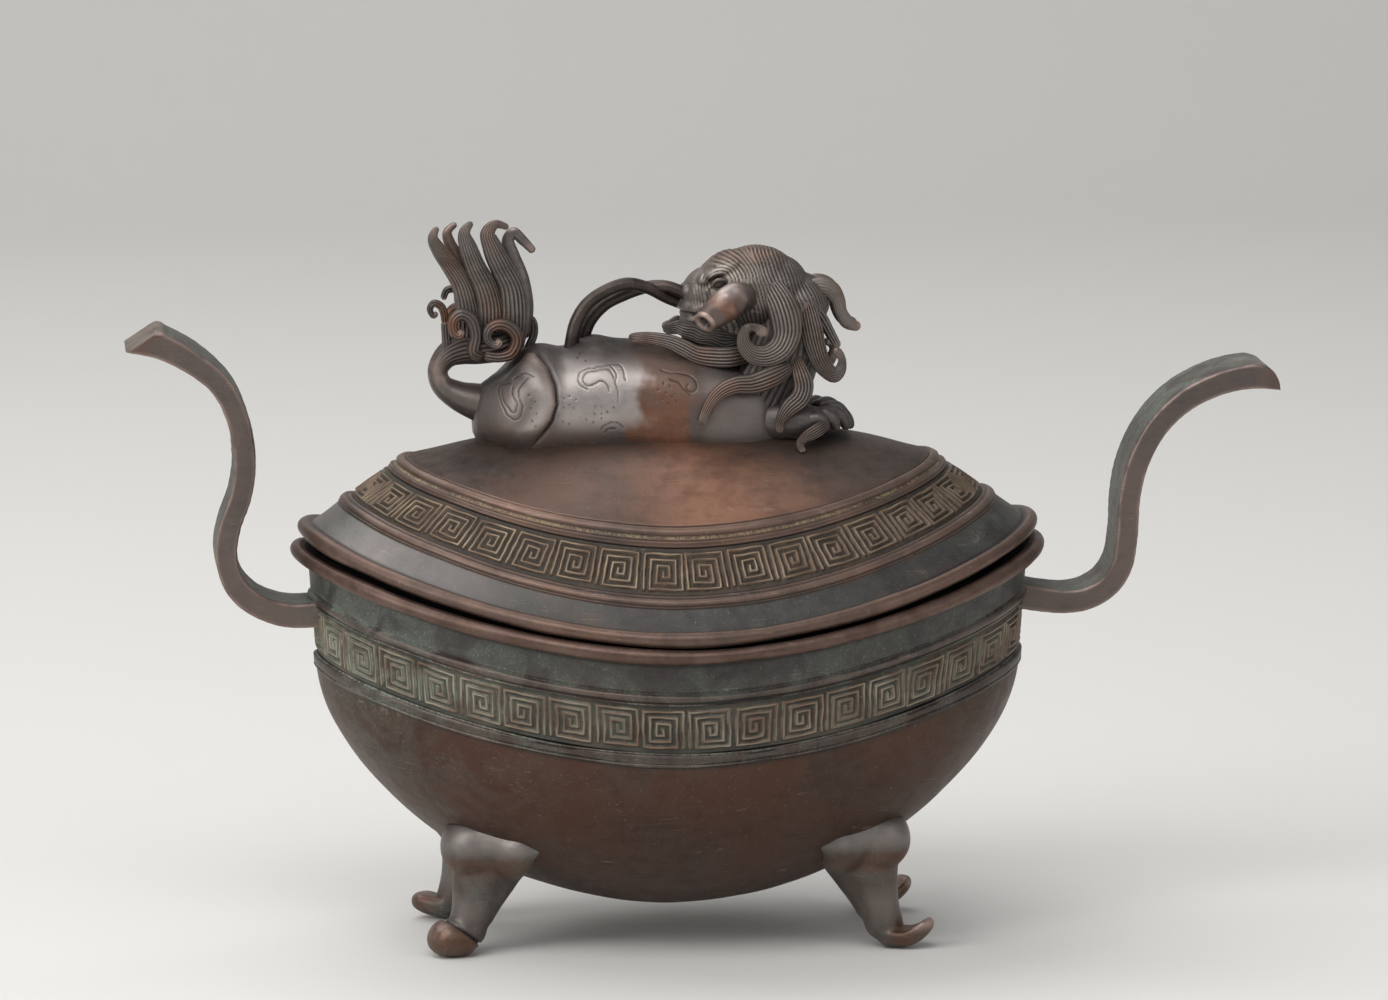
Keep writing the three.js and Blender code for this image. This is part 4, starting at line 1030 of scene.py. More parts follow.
def torso_grid():
    """The bare trunk, its outward normals, and the two ways to go round its section."""
    line = smooth_line([(x, 0, height, width, rise) for x, height, width, rise in TORSO], 330)
    turns = np.concatenate([
        np.linspace(-0.55, math.pi + 0.55, 240, endpoint=False),
        np.linspace(math.pi + 0.55, 2 * math.pi - 0.55, 44, endpoint=False),
    ])
    boxy = 0.88
    side = np.sign(np.cos(turns)) * np.abs(np.cos(turns)) ** boxy
    up = np.sign(np.sin(turns)) * np.abs(np.sin(turns)) ** boxy
    grid = np.stack([
        line[:, :1] + 0 * turns,
        -line[:, 3:4] * side,
        CROWN + line[:, 2:3] + line[:, 4:5] * up,
    ], axis=2)
    normals = np.cross(np.gradient(grid, axis=0),
                       np.roll(grid, -1, axis=1) - np.roll(grid, 1, axis=1))
    normals /= np.linalg.norm(normals, axis=2, keepdims=True)
    outwards = np.sign((normals * (grid - line[:, None, :3] - [0, 0, CROWN])).sum(2)).mean()
    normals *= 1 if outwards > 0 else -1
    return grid, normals, turns, up


def build_lion_body(finish):
    grid, normals, turns, up = torso_grid()
    places = np.stack([grid[..., 0], grid[..., 2] - CROWN], axis=2)
    flank = soft_step(0.12, 0.45, np.abs(normals[..., 1]))
    edge = distance_to_line(places, CREASE)
    within = inside_outline(places, HAUNCH)
    bulge = np.sqrt(1 - (1 - np.clip(edge / 5.0, 0, 1)) ** 2) * within
    forward = soft_step(-54, -42, places[..., 0]) * soft_step(-4, 3, places[..., 1])
    crease = bump_at(0, 1.6, edge) * ~within
    cut = engraving(places)
    rise = flank * (1.7 * bulge * forward - 0.75 * crease * forward - 0.22 * cut)
    spine = bump_at(math.pi / 2, 0.35, turns)
    rise = rise + waves(grid, 22, 51) * 0.3 + spine[None, :] * 0.25
    neckline = bump_at(31, 14, places[..., 0]) * 0.3
    grid += normals * (rise - neckline)[..., None]
    floor = lid_height(grid[..., 0], grid[..., 1]) - 0.8
    grid[..., 2] = np.maximum(grid[..., 2], floor)
    middle = bump_at(0, 4.5, np.hypot(grid[..., 0], grid[..., 1]))
    beneath = up[None, :] < -0.3
    grid[..., 2] += np.where(beneath, middle * 9, 0)
    along, height = places[..., 0], places[..., 1]
    drift = along + waves(places, 9, 55) * 2.2 + waves(places, 3, 56) * 0.8 - 0.1 * height
    patch = soft_step(-15, -8.5, drift) * soft_step(8, 1.5, drift)
    low = soft_step(17, 4, height + waves(places, 7, 57) * 2)
    # Painted highlights: a sheen across the flank, and along the inside of the haunch's crease.
    flank_highlight = soft_step(-34, -29, along) * soft_step(-7, -13, drift)
    flank_highlight = flank_highlight * soft_step(0, 6, height) * soft_step(22, 16, height)
    haunch_highlight = bump_at(3.4, 3.6, edge) * within * soft_step(-3, 4, height) * soft_step(19, 13, height)
    left_end = soft_step(-43, -51, along)
    layers = {
        "brown": 0.05 + 0.85 * patch * (0.35 + 0.65 * low) + 0.1 * bulge * forward * flank,
        "tip": 0.5 * bump_at(1.4, 1.8, edge) * within * forward * flank,
        # Pale: the painted flank and haunch highlights, a lighter shoulder, and a paler band across the
        # haunch.
        "pale": flank * (0.9 * flank_highlight + 0.95 * haunch_highlight + 0.2 * soft_step(6, 12, along)
                         + 0.3 * within * bump_at(8, 9, height)),
        # Darker along the top of the back and at the left end, and painted shade in the haunch's
        # crease.
        "soot": 0.4 * soft_step(18, 24, height) + 0.35 * left_end + 0.5 * crease * flank * forward,
        "cut": cut * flank * 0.5,
        "dust": bump_at(0, 1.2, grid[..., 2] - floor - 0.8) * (0.25 + 0.5 * left_end),
    }
    make_lion_piece("lion_trunk", finish, tube_mesh(grid), ["lion_body"], layers, 12, 0.25)


HEAD_EGGS = [
    ((24, 0, 37.8), (13.2, 13.2, 12.2), 0.0),
    ((28, 0, 37.8), (11, 12.8, 10), 0.0),
    ((35, 0, 34), (9.5, 11.8, 8.6), 0.0),
    ((18, 0, 39.5), (9.8, 11.8, 9.4), 0.2),
    ((11.5, 0, 37), (8, 8.6, 7.2), 0.3),
    ((7.4, 0, 37.8), (3.8, 5.4, 3.6), 0.4),
    ((7.4, 0, 33.4), (5.0, 7.0, 3.4), 0.1),
    ((8.4, 0, 30.2), (5.4, 6.2, 2.4), 0.1),
    ((15, 0, 29.5), (9, 8.4, 5.2), -0.1),
    ((18, 0, 27), (9.5, 8.5, 4.2), 0.05),
    ((12, 0, 25.2), (8.5, 7, 3.2), 0.0),
]
BROW_EGGS = [
    ((14.2, 8.0, 44.0), (5.2, 2.8, 1.8), 0.4),
    ((9.8, 5.6, 41.4), (2.6, 2.6, 1.9), 0.6),
    ((15.5, 9.4, 36.8), (5.8, 3.8, 4.6), 0.0),
    ((5.2, 3.1, 37.8), (1.8, 1.7, 1.8), 0.0),
    ((8.6, 5.2, 33.6), (3.8, 3.2, 2.4), 0.2),
]
# The eye on the far side; the front one is its mirror image
EYE = (13.2, 10.4, 40.7)


def head_hair(places):
    """Lines of hair that leave a parting along the top of the head and sweep back as they fall."""
    front, rear, lean = 17.5, 31, 0.3
    leaned = places[:, 0] - lean * (CROWN + 51 - places[:, 2])
    along = np.clip(leaned, front, rear)
    heading = np.abs(np.arctan2(places[:, 1], leaned - along))
    across = np.sign(places[:, 1]) * (heading * 27 - along * 3.0)
    lines = 1 - np.abs(np.sin(across + 0.6 * waves(places, 9, 73))) ** 0.7
    behind = soft_step(14.5, 18.5, places[:, 0] + 0.4 * (CROWN + 41 - places[:, 2]))
    return lines * behind * soft_step(0.3, 1.2, np.abs(places[:, 1]))


def brow_swirl(places):
    """Rings of hair that sweep over each eye and up to the crown, and how far they hold."""
    across, height = places[:, 0] - EYE[0], places[:, 2] - CROWN - EYE[2]
    from_eye = np.hypot(across, height)
    turn = np.arctan2(height, across)
    rings = 1 - np.abs(np.sin(math.pi * (from_eye - 2.6) / 0.95 + waves(places, 8, 74) * 0.5)) ** 0.7
    over_eye = soft_step(-0.1, 0.3, turn) * soft_step(3.5, 2.7, turn)
    side = np.maximum(soft_step(4.5, 7, np.abs(places[:, 1])), soft_step(10, 13, places[:, 0]))
    held = soft_step(2.4, 3.0, from_eye) * soft_step(12.5, 10.5, from_eye) * over_eye * side
    return rings * held, held


def build_lion_head(finish):
    shapes = [egg((x, y, z + CROWN), radii, tilt) for (x, y, z), radii, tilt in HEAD_EGGS]
    for (x, y, z), radii, tilt in BROW_EGGS:
        one = egg((x, -y, z + CROWN), radii, tilt)
        shapes += [one, mirrored(one)]
    points, faces = fused(shapes, 0.27, 9)
    normals = point_normals(points, faces)
    height = points[:, 2] - CROWN
    from_eye = np.hypot(points[:, 0] - EYE[0], height - EYE[2])
    on_side = soft_step(5, 7.5, np.abs(points[:, 1]))
    socket = bump_at(0, 3.2, from_eye) * on_side
    hair = head_hair(points)
    brow, swirled = brow_swirl(points)
    front = soft_step(13, 10, points[:, 0])
    mouth = bump_at(31.9, 0.8, height + 0.1 * (points[:, 0] - 5)) * front
    nostril = bump_at(0, 0.9, np.hypot(np.abs(points[:, 1]) - 2.4, height - 37.2)) * front
    whiskers = 1 - np.abs(np.sin(points[:, 0] * 3.6 + height * 0.5)) ** 0.7
    cheek = on_side * front * soft_step(42, 40, height) * soft_step(33, 35, height)
    hair = hair * (1 - swirled)
    change = -1.3 * socket - 0.34 * hair - 0.36 * brow - 0.8 * mouth - 0.9 * nostril
    change -= 0.22 * whiskers * cheek
    points = points + normals * (change + waves(points, 7, 71) * 0.1)[:, None]
    cuts = np.maximum.reduce([hair * 0.75, brow * 0.85, mouth, nostril, whiskers * cheek * 0.5])
    crown = bump_at(17, 9, points[:, 0]) * soft_step(38, 44, height)
    layers = {
        "cut": cuts,
        "brown": bump_at(48.5, 5, height) * 0.8,
        "dust": crown * (0.25 + 0.4 * np.maximum(hair, brow)),
        "pale": bump_at(4.5, 3.5, from_eye) * on_side * swirled * 0.7,
    }
    make_lion_piece("lion_skull", finish, (points, faces), ["lion_head"], layers, 10, 0.18)


def build_eyes(finish):
    for name, to_y in (("front", -1), ("far", 1)):
        centre = (EYE[0], to_y * (EYE[1] - 0.5), EYE[2] + CROWN)
        ball = egg(centre, (1.6, 1.5, 1.15), 0.3)
        lid = [(-2.1, 0, -0.7, 0.4), (-0.9, 0.8, 0.9, 0.6), (1.1, 0.7, 1.0, 0.6), (2.4, 0, -0.2, 0.3)]
        upper = round_bar([(EYE[0] + x, to_y * (EYE[1] + y), CROWN + EYE[2] + z, size)
                           for x, y, z, size in lid], (0, to_y, 0))
        make_lion_piece(f"lion_eye_{name}", finish, fused([ball, tube_mesh(upper)], 0.22, 3),
                        rounds=10, reach=0.15)


NECK = [
    (22, 0, 2, 14.0), (26, 0, 10, 14.2), (30, 0, 19, 13.8), (32, 0, 28, 12.6), (30, 0, 38, 10.5),
]


def build_lion_neck(finish):
    line = smooth_line(above_crown(NECK), 90)
    _, outward, across = frames_along(line, (0, -1, 0))
    turns = np.linspace(0, 2 * math.pi, 300, endpoint=False)
    hair = 1 - np.abs(np.sin(turns * 19)) ** 0.55
    reach = line[:, 3:4] * np.ones_like(turns) - 0.45 * hair
    depth = reach * 0.84
    grid = swept(line, outward, across, reach * np.cos(turns), depth * np.sin(turns))
    grid[..., 2] = np.maximum(grid[..., 2], lid_height(grid[..., 0], grid[..., 1]) - 0.8)
    layers = {
        "cut": np.broadcast_to(hair * 0.8, grid.shape[:2]), "soot": np.full(grid.shape[:2], 0.4),
    }
    make_lion_piece("lion_nape", finish, tube_mesh(grid), ["lion_neck"], layers, 10, 0.25)


# Locks of the mane, the plume and the tuft: place, height and half width, for the front side
MANE = {
    "mane_curl": [
        (25.6, -7, 43.6, 1.4), (27.8, -10.6, 39.6, 3.2), (29.9, -12.6, 35.4, 4.1),
        (31.2, -13.6, 31, 4.4), (31.2, -14.3, 26.7, 4.1), (29.3, -14.9, 23.2, 3.7),
        (25.6, -15.5, 21.4, 3.2), (21.7, -15.9, 22.1, 2.7), (19.5, -16.3, 24.6, 2.1),
        (19.3, -16.6, 27.4, 1.6), (20.5, -16.8, 29.3, 1.2), (22.5, -16.9, 29.3, 1.1),
        (24.1, -17.2, 28.2, 1.6), (24.4, -17.4, 26.7, 1.5),
    ],
    "mane_hook": [
        (34, -5.5, 40, 1.4), (36.4, -8.8, 36, 2.6), (37.9, -10.9, 30, 3.2),
        (39.3, -12, 23.4, 3.0), (41.5, -12.5, 17.9, 2.5), (44.5, -12.5, 15.3, 2.1),
        (46.3, -12.1, 16.9, 1.6), (46.8, -11.4, 19.6, 1.1), (45.6, -10.6, 21.4, 1.3),
        (44.2, -10.3, 21.3, 1.5),
    ],
    "mane_horn": [
        (35.8, -3.6, 36, 1.8), (40.4, -4.1, 38.6, 2.5), (44.1, -4.3, 38.1, 2.4),
        (46.3, -4.5, 35.2, 2.0), (47.1, -4.7, 31.6, 1.8), (49.1, -4.8, 28.7, 1.8),
        (52.6, -5, 27.4, 1.1),
    ],
    "mane_shoulder": [
        (32.9, -13, 18.1, 1.8), (27.2, -16, 15.7, 3.0), (21.6, -17.3, 14, 2.8),
        (17.1, -18.2, 13.8, 2.5), (13.2, -18.7, 12.3, 2.1), (10.4, -19, 9.6, 1.8),
        (8.7, -19.1, 6.3, 1.5), (7.6, -19, 3.2, 1.2),
    ],
    "mane_chest": [
        (33.4, -11.5, 21, 1.4), (35.1, -14.3, 16.3, 2.4), (35.8, -15.5, 12.6, 2.8),
        (34.7, -16.2, 9.7, 2.8), (31.9, -16.7, 7.3, 2.4), (29.9, -17, 4.6, 1.7),
        (29.2, -17, 2.1, 1.2), (29.1, -17, 0.1, 0.8),
    ],
    "mane_back": [
        (23, -9, 21.5, 2.2), (16, -11.7, 20.6, 3.0), (11.1, -11.3, 20.7, 2.8),
        (7, -10.8, 21.3, 2.5), (3.2, -10, 23.2, 2.3), (-0.8, -9, 24.8, 2.0),
        (-5.1, -7.8, 25.5, 1.7), (-8.9, -6.4, 25.6, 1.4), (-11.2, -5, 25.2, 1.2),
    ],
    "elbow_tuft": [
        (42.2, -15, 2.4, 1.2), (40.1, -17, 1.3, 1.9), (37.8, -18, 0.1, 1.9),
        (35.5, -19, -1.1, 1.4), (34.3, -20, -2.6, 1.1), (35.3, -21, -4.6, 0.8),
    ],
}
MANE_STRAND = [
    (39.5, -7.2, 34.5, 1.5), (42.2, -8.3, 29.4, 1.5), (44.5, -9.2, 25.4, 1.3), (46, -10, 22.6, 1.0),
]
PLUME = [
    [(-55.2, -1.5, 21, 3.0), (-54.9, -1.4, 29, 3.6), (-55.3, -1.4, 35.6, 3.2),
     (-56.9, -1.3, 40.7, 2.8), (-59.8, -1.2, 45.4, 2.5), (-62.8, -1.2, 49.6, 2.0),
     (-64.4, -1.1, 53, 1.4), (-63.2, -1, 56, 0.7)],
    [(-49, -2.5, 21, 3.2), (-48.9, -2.4, 29, 3.8), (-49, -2.2, 34.6, 3.6),
     (-50.4, -2, 39.8, 3.2), (-52.9, -1.8, 45.1, 2.9), (-54.8, -1.5, 50.1, 2.5),
     (-55.8, -1.2, 54.2, 1.7), (-53.6, -1, 57.4, 0.7)],
    [(-43.2, -1.5, 21, 3.4), (-42.4, -1.5, 29, 4.0), (-42.3, -1.4, 34.4, 4.0),
     (-43.1, -1.4, 39.6, 3.8), (-45.7, -1.3, 44.9, 3.3), (-48.2, -1.2, 50.3, 2.8),
     (-49.3, -1.1, 54.2, 2.1), (-47.3, -1.1, 56.5, 1.3), (-43.6, -1, 55.6, 0.8)],
    [(-53, 3, 24, 2.6), (-54.2, 3.2, 36, 2.6), (-57.2, 3, 46.5, 2.0), (-59.7, 3, 51.2, 1.6),
     (-60.2, 3, 54.1, 1.2), (-57.8, 3, 56.4, 0.7)],
    [(-40.6, 2.5, 24, 3), (-40, 2.6, 34, 3.2), (-40.7, 2.6, 41, 2.8),
     (-42.6, 2.7, 47.1, 2.3), (-43.6, 2.8, 51.8, 1.7), (-42, 2.9, 53.8, 1.5),
     (-39.6, 2.9, 51.7, 1.4), (-36.4, 3, 48.2, 1.0)],
]
FRONT_CURLS = [
    [(-51, -4.4, 20.5, 1.6), (-53.6, -5.6, 22.2, 1.8), (-53.1, -6.1, 26.9, 1.8),
     (-54.5, -6.5, 31.1, 1.8), (-57.2, -6.9, 32.6, 1.7), (-59.3, -7.1, 31.1, 1.5),
     (-59.4, -7.4, 28.3, 1.3), (-57.9, -7.7, 27, 1.2), (-56.9, -8, 28.5, 1.1)],
    [(-51, -5, 21.2, 1.5), (-47, -5.8, 20.7, 1.7), (-43.1, -6.2, 22.1, 1.8),
     (-41.9, -6.5, 25.9, 1.8), (-44, -6.8, 29, 1.8), (-47, -7, 29.8, 1.7), (-49.7, -7.2, 28.3, 1.5),
     (-49.8, -7.5, 25.5, 1.3), (-47.5, -7.8, 24.4, 1.2), (-46.4, -8, 25.9, 1.2)],
]
END_CURL = [
    (-61.3, -2.4, 29.5, 1.1), (-61.5, -2.4, 32, 1.1), (-62.4, -2.3, 34.2, 1.1),
    (-64.3, -2.2, 35.1, 1), (-65.4, -2.1, 33.4, 0.9), (-64.5, -2.1, 31.6, 0.8),
    (-63.4, -2, 32.6, 0.8),
]
CURL_STEM = [(-60.7, -2.5, 20, 1.4), (-61, -2.4, 25.5, 1.2), (-61.3, -2.4, 30.5, 1.1)]
FAR_LOOP = [(-57.2, 3.5, 34, 1), (-57.9, 3.5, 38, 1), (-60.2, 3.5, 38, 1), (-61.5, 3.5, 35.4, 0.9)]
NEAR_LOOP = [(-38.6, 2, 21, 1.2), (-36.6, 2.3, 26.1, 1.1), (-37, 2.7, 29.4, 1), (-39.4, 3, 30.6, 0.9)]
TAIL_ROOT = [
    (-46, 0, 5.5, 5.5), (-52, 0, 7.3, 5.2), (-57.9, 0, 9.4, 4.0), (-62.2, 0, 12.5, 3.0),
    (-63.2, 0, 16.3, 2.8), (-61, 0, 20.1, 3.4), (-57, 0, 22.2, 4.4), (-51.5, 0, 23, 5),
    (-46, 0, 24, 5), (-41.4, 0, 25.6, 3.6),
]
RIBBON = [
    [(-27.3, -2.5, 20.5, 1.9), (-25.3, -2.5, 29.6, 1.9), (-22.1, -2.5, 34.7, 1.8),
     (-16.8, -2.5, 38.2, 1.8), (-11.3, -2.2, 39.8, 1.8), (-5.8, -1.4, 38.6, 1.7),
     (-0.2, 0.6, 35.6, 1.7), (6.5, 1.8, 32.8, 1.7)],
    [(-24, 2.2, 20.5, 1.8), (-21.6, 2.2, 28.6, 1.8), (-17.4, 2.2, 33.4, 1.7),
     (-11.7, 1.8, 36.4, 1.7), (-6.1, 0.8, 38.4, 1.7), (-0.6, -0.8, 38.8, 1.7),
     (6.5, -1.8, 36.2, 1.7)],
]
EAR = [
    (21.8, -8.5, 34, 2.4), (20.4, -11.8, 36.6, 3.6), (18.2, -13.6, 37.3, 4.3), (15.4, -14.8, 36, 4.6),
    (12.2, -15.4, 33.6, 4.2), (8.9, -15.8, 31, 3.2),
]
BEARD = [
    (20, 0, 25.5, 4.0), (13, 0, 26.4, 4.4), (7, 0, 27, 3.6), (2.8, 0, 27.4, 2.8),
    (-1.4, 0, 27.7, 0.9),
]
BEARD_LOCK = [
    (21, -7, 24.6, 2.2), (15, -7.6, 25, 3.0), (9, -6.4, 26.3, 2.9), (4, -4, 27.6, 2.4),
    (0.2, -2.2, 27.4, 1.7), (-1.5, -1.1, 27.6, 0.8),
]
FORELEG = [
    (16, -3.5, 4, 4.2), (22, -6.5, 3.6, 5.2), (28, -10, 3, 5.6), (34, -11.5, 2.6, 4.9),
    (39, -10.5, 2.0, 4.6), (43, -9, 1.4, 4.8),
]
TOES = [
    [(36.5, -13, 1.8, 2.3), (39.4, -13.8, 3.6, 2.1), (41.2, -14, 2.4, 1.9), (42.2, -14, -0.2, 1.0)],
    [(39, -10.4, 2.6, 2.4), (42, -10.9, 4.4, 2.2), (44.2, -11.1, 2.9, 2.0), (45.6, -11.1, -0.4, 1.0)],
    [(41, -7.2, 2.8, 2.4), (44.8, -7.5, 4.5, 2.2), (47.2, -7.7, 2.8, 2.0), (48.8, -7.7, -0.6, 1.0)],
    [(42, -4.2, 2.4, 2.3), (46.3, -4.2, 4.0, 2.1), (48.8, -4.2, 2.3, 1.8), (50.4, -4.2, -0.8, 1.0)],
]


def on_far_side(route):
    return [(x, -y, *rest) for x, y, *rest in route]


def lock_layers(grooved, tip_wear=0.8):
    along = np.linspace(0, 1, len(grooved))[:, None]
    tip = soft_step(0.86, 0.99, along) * tip_wear * (1 - 0.6 * grooved)
    return {"tip": tip, "cut": grooved * 0.75, "dust": bump_at(0.5, 0.4, along) * grooved * 0.25}


def build_lock(name, route, facing, finish, replaces=(), **options):
    grid, grooved = hair_lock(route, facing, **options)
    grid = grid + waves(grid, 9, len(name)).reshape(grid.shape[:2] + (1,)) * 0.08
    layers = lock_layers(grooved)
    layers["brown"] = soft_step(-0.2, 0.7, waves(grid, 17, 83 + len(name))) * 0.7
    make_lion_piece(name, finish, tube_mesh(grid), replaces, layers, 6, 0.15)


def build_mane(finish):
    for name, route in MANE.items():
        grooves = 8 if name in ("mane_curl", "mane_hook") else 6
        cut = 0.15 if name == "mane_horn" else 0.52
        build_lock(f"{name}_lock_front", route, (0, -1, 0), finish, [f"{name}_front"],
                   grooves=grooves, cut=cut)
        far = on_far_side(route)
        if name == "mane_back":
            far = [(x, y + 1, height - 3 * soft_step(20, 5, x), size) for x, y, height, size in far]
        build_lock(f"{name}_lock_far", far, (0, 1, 0), finish, [f"{name}_far"], grooves=grooves,
                   cut=cut)
    build_lock("mane_strand_front", MANE_STRAND, (0, -1, 0), finish, grooves=3)
    build_lock("mane_strand_far", on_far_side(MANE_STRAND), (0, 1, 0), finish, grooves=3)


def build_plume(finish):
    for i, route in enumerate(PLUME):
        facing = (0.25, -1, 0) if i < 3 else (0, 1, 0)
        build_lock(f"plume_flame_{i + 1}", route, facing, finish, [f"plume_lock_{i + 1}"], grooves=7,
                   flatness=0.72, cut=0.55)


def build_tail(finish):
    for i, curl in enumerate(FRONT_CURLS):
        build_lock(f"tail_scroll_{i + 1}", curl, (0, -1, 0), finish, [f"tail_curl_{i + 1}"],
                   grooves=3, flatness=1.1)
        build_lock(f"tail_scroll_{i + 4}", on_far_side(curl), (0, 1, 0), finish,
                   [f"tail_curl_{i + 4}"], grooves=3, flatness=1.1)
    build_lock("tail_scroll_3", END_CURL, (0, -1, 0), finish, ["tail_curl_3"], grooves=3, flatness=1)
    build_lock("tail_scroll_stem", CURL_STEM, (0, -1, 0), finish, ["tail_curl_stem"], grooves=3,
               flatness=1)
    build_lock("tail_loop_left", FAR_LOOP, (0, -1, 0), finish, grooves=2, flatness=1)
    build_lock("tail_loop_right", NEAR_LOOP, (0, -1, 0), finish, grooves=2, flatness=1)
    root = round_bar(above_crown(TAIL_ROOT), (0, -1, 0), sides=180, steps=170, flatness=1.25)
    way = np.linspace(0, 1, 170)[:, None]
    turns = np.linspace(0, 2 * math.pi, 180, endpoint=False)
    hair = (1 - np.abs(np.sin(turns * 11)) ** 0.7) * soft_step(0.5, 0.62, way)
    middle = root.mean(1, keepdims=True)
    root = middle + (root - middle) * (1 - 0.08 * hair)[..., None]
    dark = np.broadcast_to(soft_step(0.5, 0.66, way) * 0.5, hair.shape)
    worn = np.broadcast_to(bump_at(0.44, 0.1, way) * 0.7, hair.shape)
    layers = {"cut": hair * 0.8, "soot": dark, "tip": worn}
    make_lion_piece("tail_bend", finish, tube_mesh(root), ["tail_root"], layers, 20, 0.2)


def build_ribbon(finish):
    for i, route in enumerate(RIBBON):
        strand = round_bar(above_crown(route), (0, -1, 0), sides=36, steps=140)
        make_lion_piece(f"ribbon_{i + 1}", finish, tube_mesh(strand), [f"ribbon_strand_{i + 1}"],
                        rounds=20, reach=0.2)


def build_ears(finish):
    for name, to_y, node in (("front", -1, "ear_front"), ("far", 1, "ear_back")):
        route = above_crown(EAR) if to_y < 0 else above_crown(on_far_side(EAR))
        line = smooth_line(route, 110)
        tangent, outward, across = frames_along(line, (0, to_y, 0))
        keep = rounded_ends(line, line[:, 3] * 0.5, root=True)
        keep[-8:] = 1
        turns = np.linspace(0, 2 * math.pi, 48, endpoint=False)
        size = (keep * line[:, 3])[:, None]
        tube = swept(line, outward, across, size * np.cos(turns) * 0.8, size * np.sin(turns))
        slant = soft_step(0.7, 1, np.linspace(0, 1, len(line)))[:, None] * size * np.cos(turns)
        tube -= (slant * 0.55)[..., None] * tangent[:, None, :]
        near_tip = bump_at(0.75, 0.3, np.linspace(0, 1, len(line)))[:, None]
        dent = bump_at(0.3, 0.9, turns - math.pi) * near_tip
        tube += (waves(tube, 6, 91) * 0.25 - dent * 0.3)[..., None] * outward[:, None, :]
        end = line[-1, :3]
        cup = [(0.45, 0.99), (0.8, 0.88), (0.9, 0.74), (0.6, 0.6), (-0.1, 0.48), (-1.2, 0.38),
               (-2.0, 0.2), (-2.2, 0.04)]
        rings = [
            end + tangent[-1] * forward + (tube[-1] - end) * share for forward, share in cup
        ]
        grid = np.vstack([tube, rings])
        # Painted shade inside the ear's opening, kept in the cut layer.
        inside = np.zeros(grid.shape[:2])
        inside[-4:] = 0.8
        rim = np.zeros(grid.shape[:2])
        rim[-9:-4] = 0.8
        way = np.linspace(0, 1, len(grid))[:, None]
        # A painted highlight partway along the ear, kept as pale.
        shine = bump_at(0.52, 0.2, way) * bump_at(0.9, 0.9, turns)[None, :]
        stripe = bump_at(0.62, 0.2, way) * np.ones(len(turns)) * 0.6
        layers = {"cut": inside, "tip": rim, "pale": shine * 0.7, "brown": stripe}
        make_lion_piece(f"lion_ear_{name}", finish, tube_mesh(grid), [node], layers, 10, 0.2)


def build_beard(finish):
    for name, route, facing in (
        ("lion_beard", BEARD, (0, 0, -1)),
        ("lion_beard_front", BEARD_LOCK, (0, -1, 0.3)),
        ("lion_beard_far", on_far_side(BEARD_LOCK), (0, 1, 0.3)),
    ):
        grid, grooved = hair_lock(route, facing, flatness=0.6, cut=0.5)
        grid[..., 2] += waves(grid, 5, 81) * 0.5
        # The beard is darkened all over as painted shade beneath the jaw.
        layers = {**lock_layers(grooved, 0.5), "soot": np.full(grooved.shape, 0.35)}
        replaces = ["beard"] if route is BEARD else ()
        make_lion_piece(name, finish, tube_mesh(grid), replaces, layers, 6, 0.16)


def build_forelegs(finish):
    for side, to_y in (("front", -1), ("back", 1)):
        shapes = []
        for route in [FORELEG] + TOES:
            route = route if to_y < 0 else on_far_side(route)
            shapes.append(tube_mesh(round_bar(above_crown(route), (0, -1, 0), steps=40)))
        points, faces = fused(shapes, 0.3, 4)
        floor = lid_height(points[:, 0], points[:, 1]) - 0.5
        points[:, 2] = np.maximum(points[:, 2], floor)
        claws = bump_at(0, 1.6, points[:, 2] - floor - 1.2) * soft_step(38, 42, points[:, 0])
        layers = {"dust": bump_at(0, 1.4, points[:, 2] - floor - 0.8) * 0.6, "soot": claws * 0.5}
        make_lion_piece(f"lion_paw_{side}", finish, (points, faces), [f"foreleg_{side}"], layers,
                        rounds=14, reach=0.2)


# Finishes


def tone(code):
    """A colour from its six-figure code, as light adds it up."""
    values = [int(code[i:i + 2], 16) / 255 for i in (0, 2, 4)]
    linear = [v / 12.92 if v <= 0.04045 else ((v + 0.055) / 1.055) ** 2.4 for v in values]
    return (*linear, 1)


class Level:
    """A number that changes over a surface, with the operators of arithmetic."""

    def __init__(self, finish, socket):
        self.finish = finish
        self.socket = socket

    def _math(self, operation, first, second=None, clamp=False):
        inputs = {0: first} if second is None else {0: first, 1: second}
        return self.finish.add("ShaderNodeMath", {"operation": operation, "use_clamp": clamp}, inputs)

    def __add__(self, other):
        return self._math("ADD", self, other)

    __radd__ = __add__

    def __sub__(self, other):
        return self._math("SUBTRACT", self, other)

    def __rsub__(self, other):
        return self._math("SUBTRACT", other, self)

    def __mul__(self, other):
        return self._math("MULTIPLY", self, other)

    __rmul__ = __mul__

    def __truediv__(self, other):
        return self._math("DIVIDE", self, other)

    def __abs__(self):
        return self._math("ABSOLUTE", self)

    def __pow__(self, other):
        return self._math("POWER", self, other)

    def held(self):
        """Kept between 0 and 1."""
        return self._math("ADD", self, 0, clamp=True)

    def between(self, low, high):
        """0 below low, 1 above high, with a soft rise."""
        return self.finish.add("ShaderNodeMapRange", {"interpolation_type": "SMOOTHSTEP"},
                               {"Value": self, "From Min": low, "From Max": high})


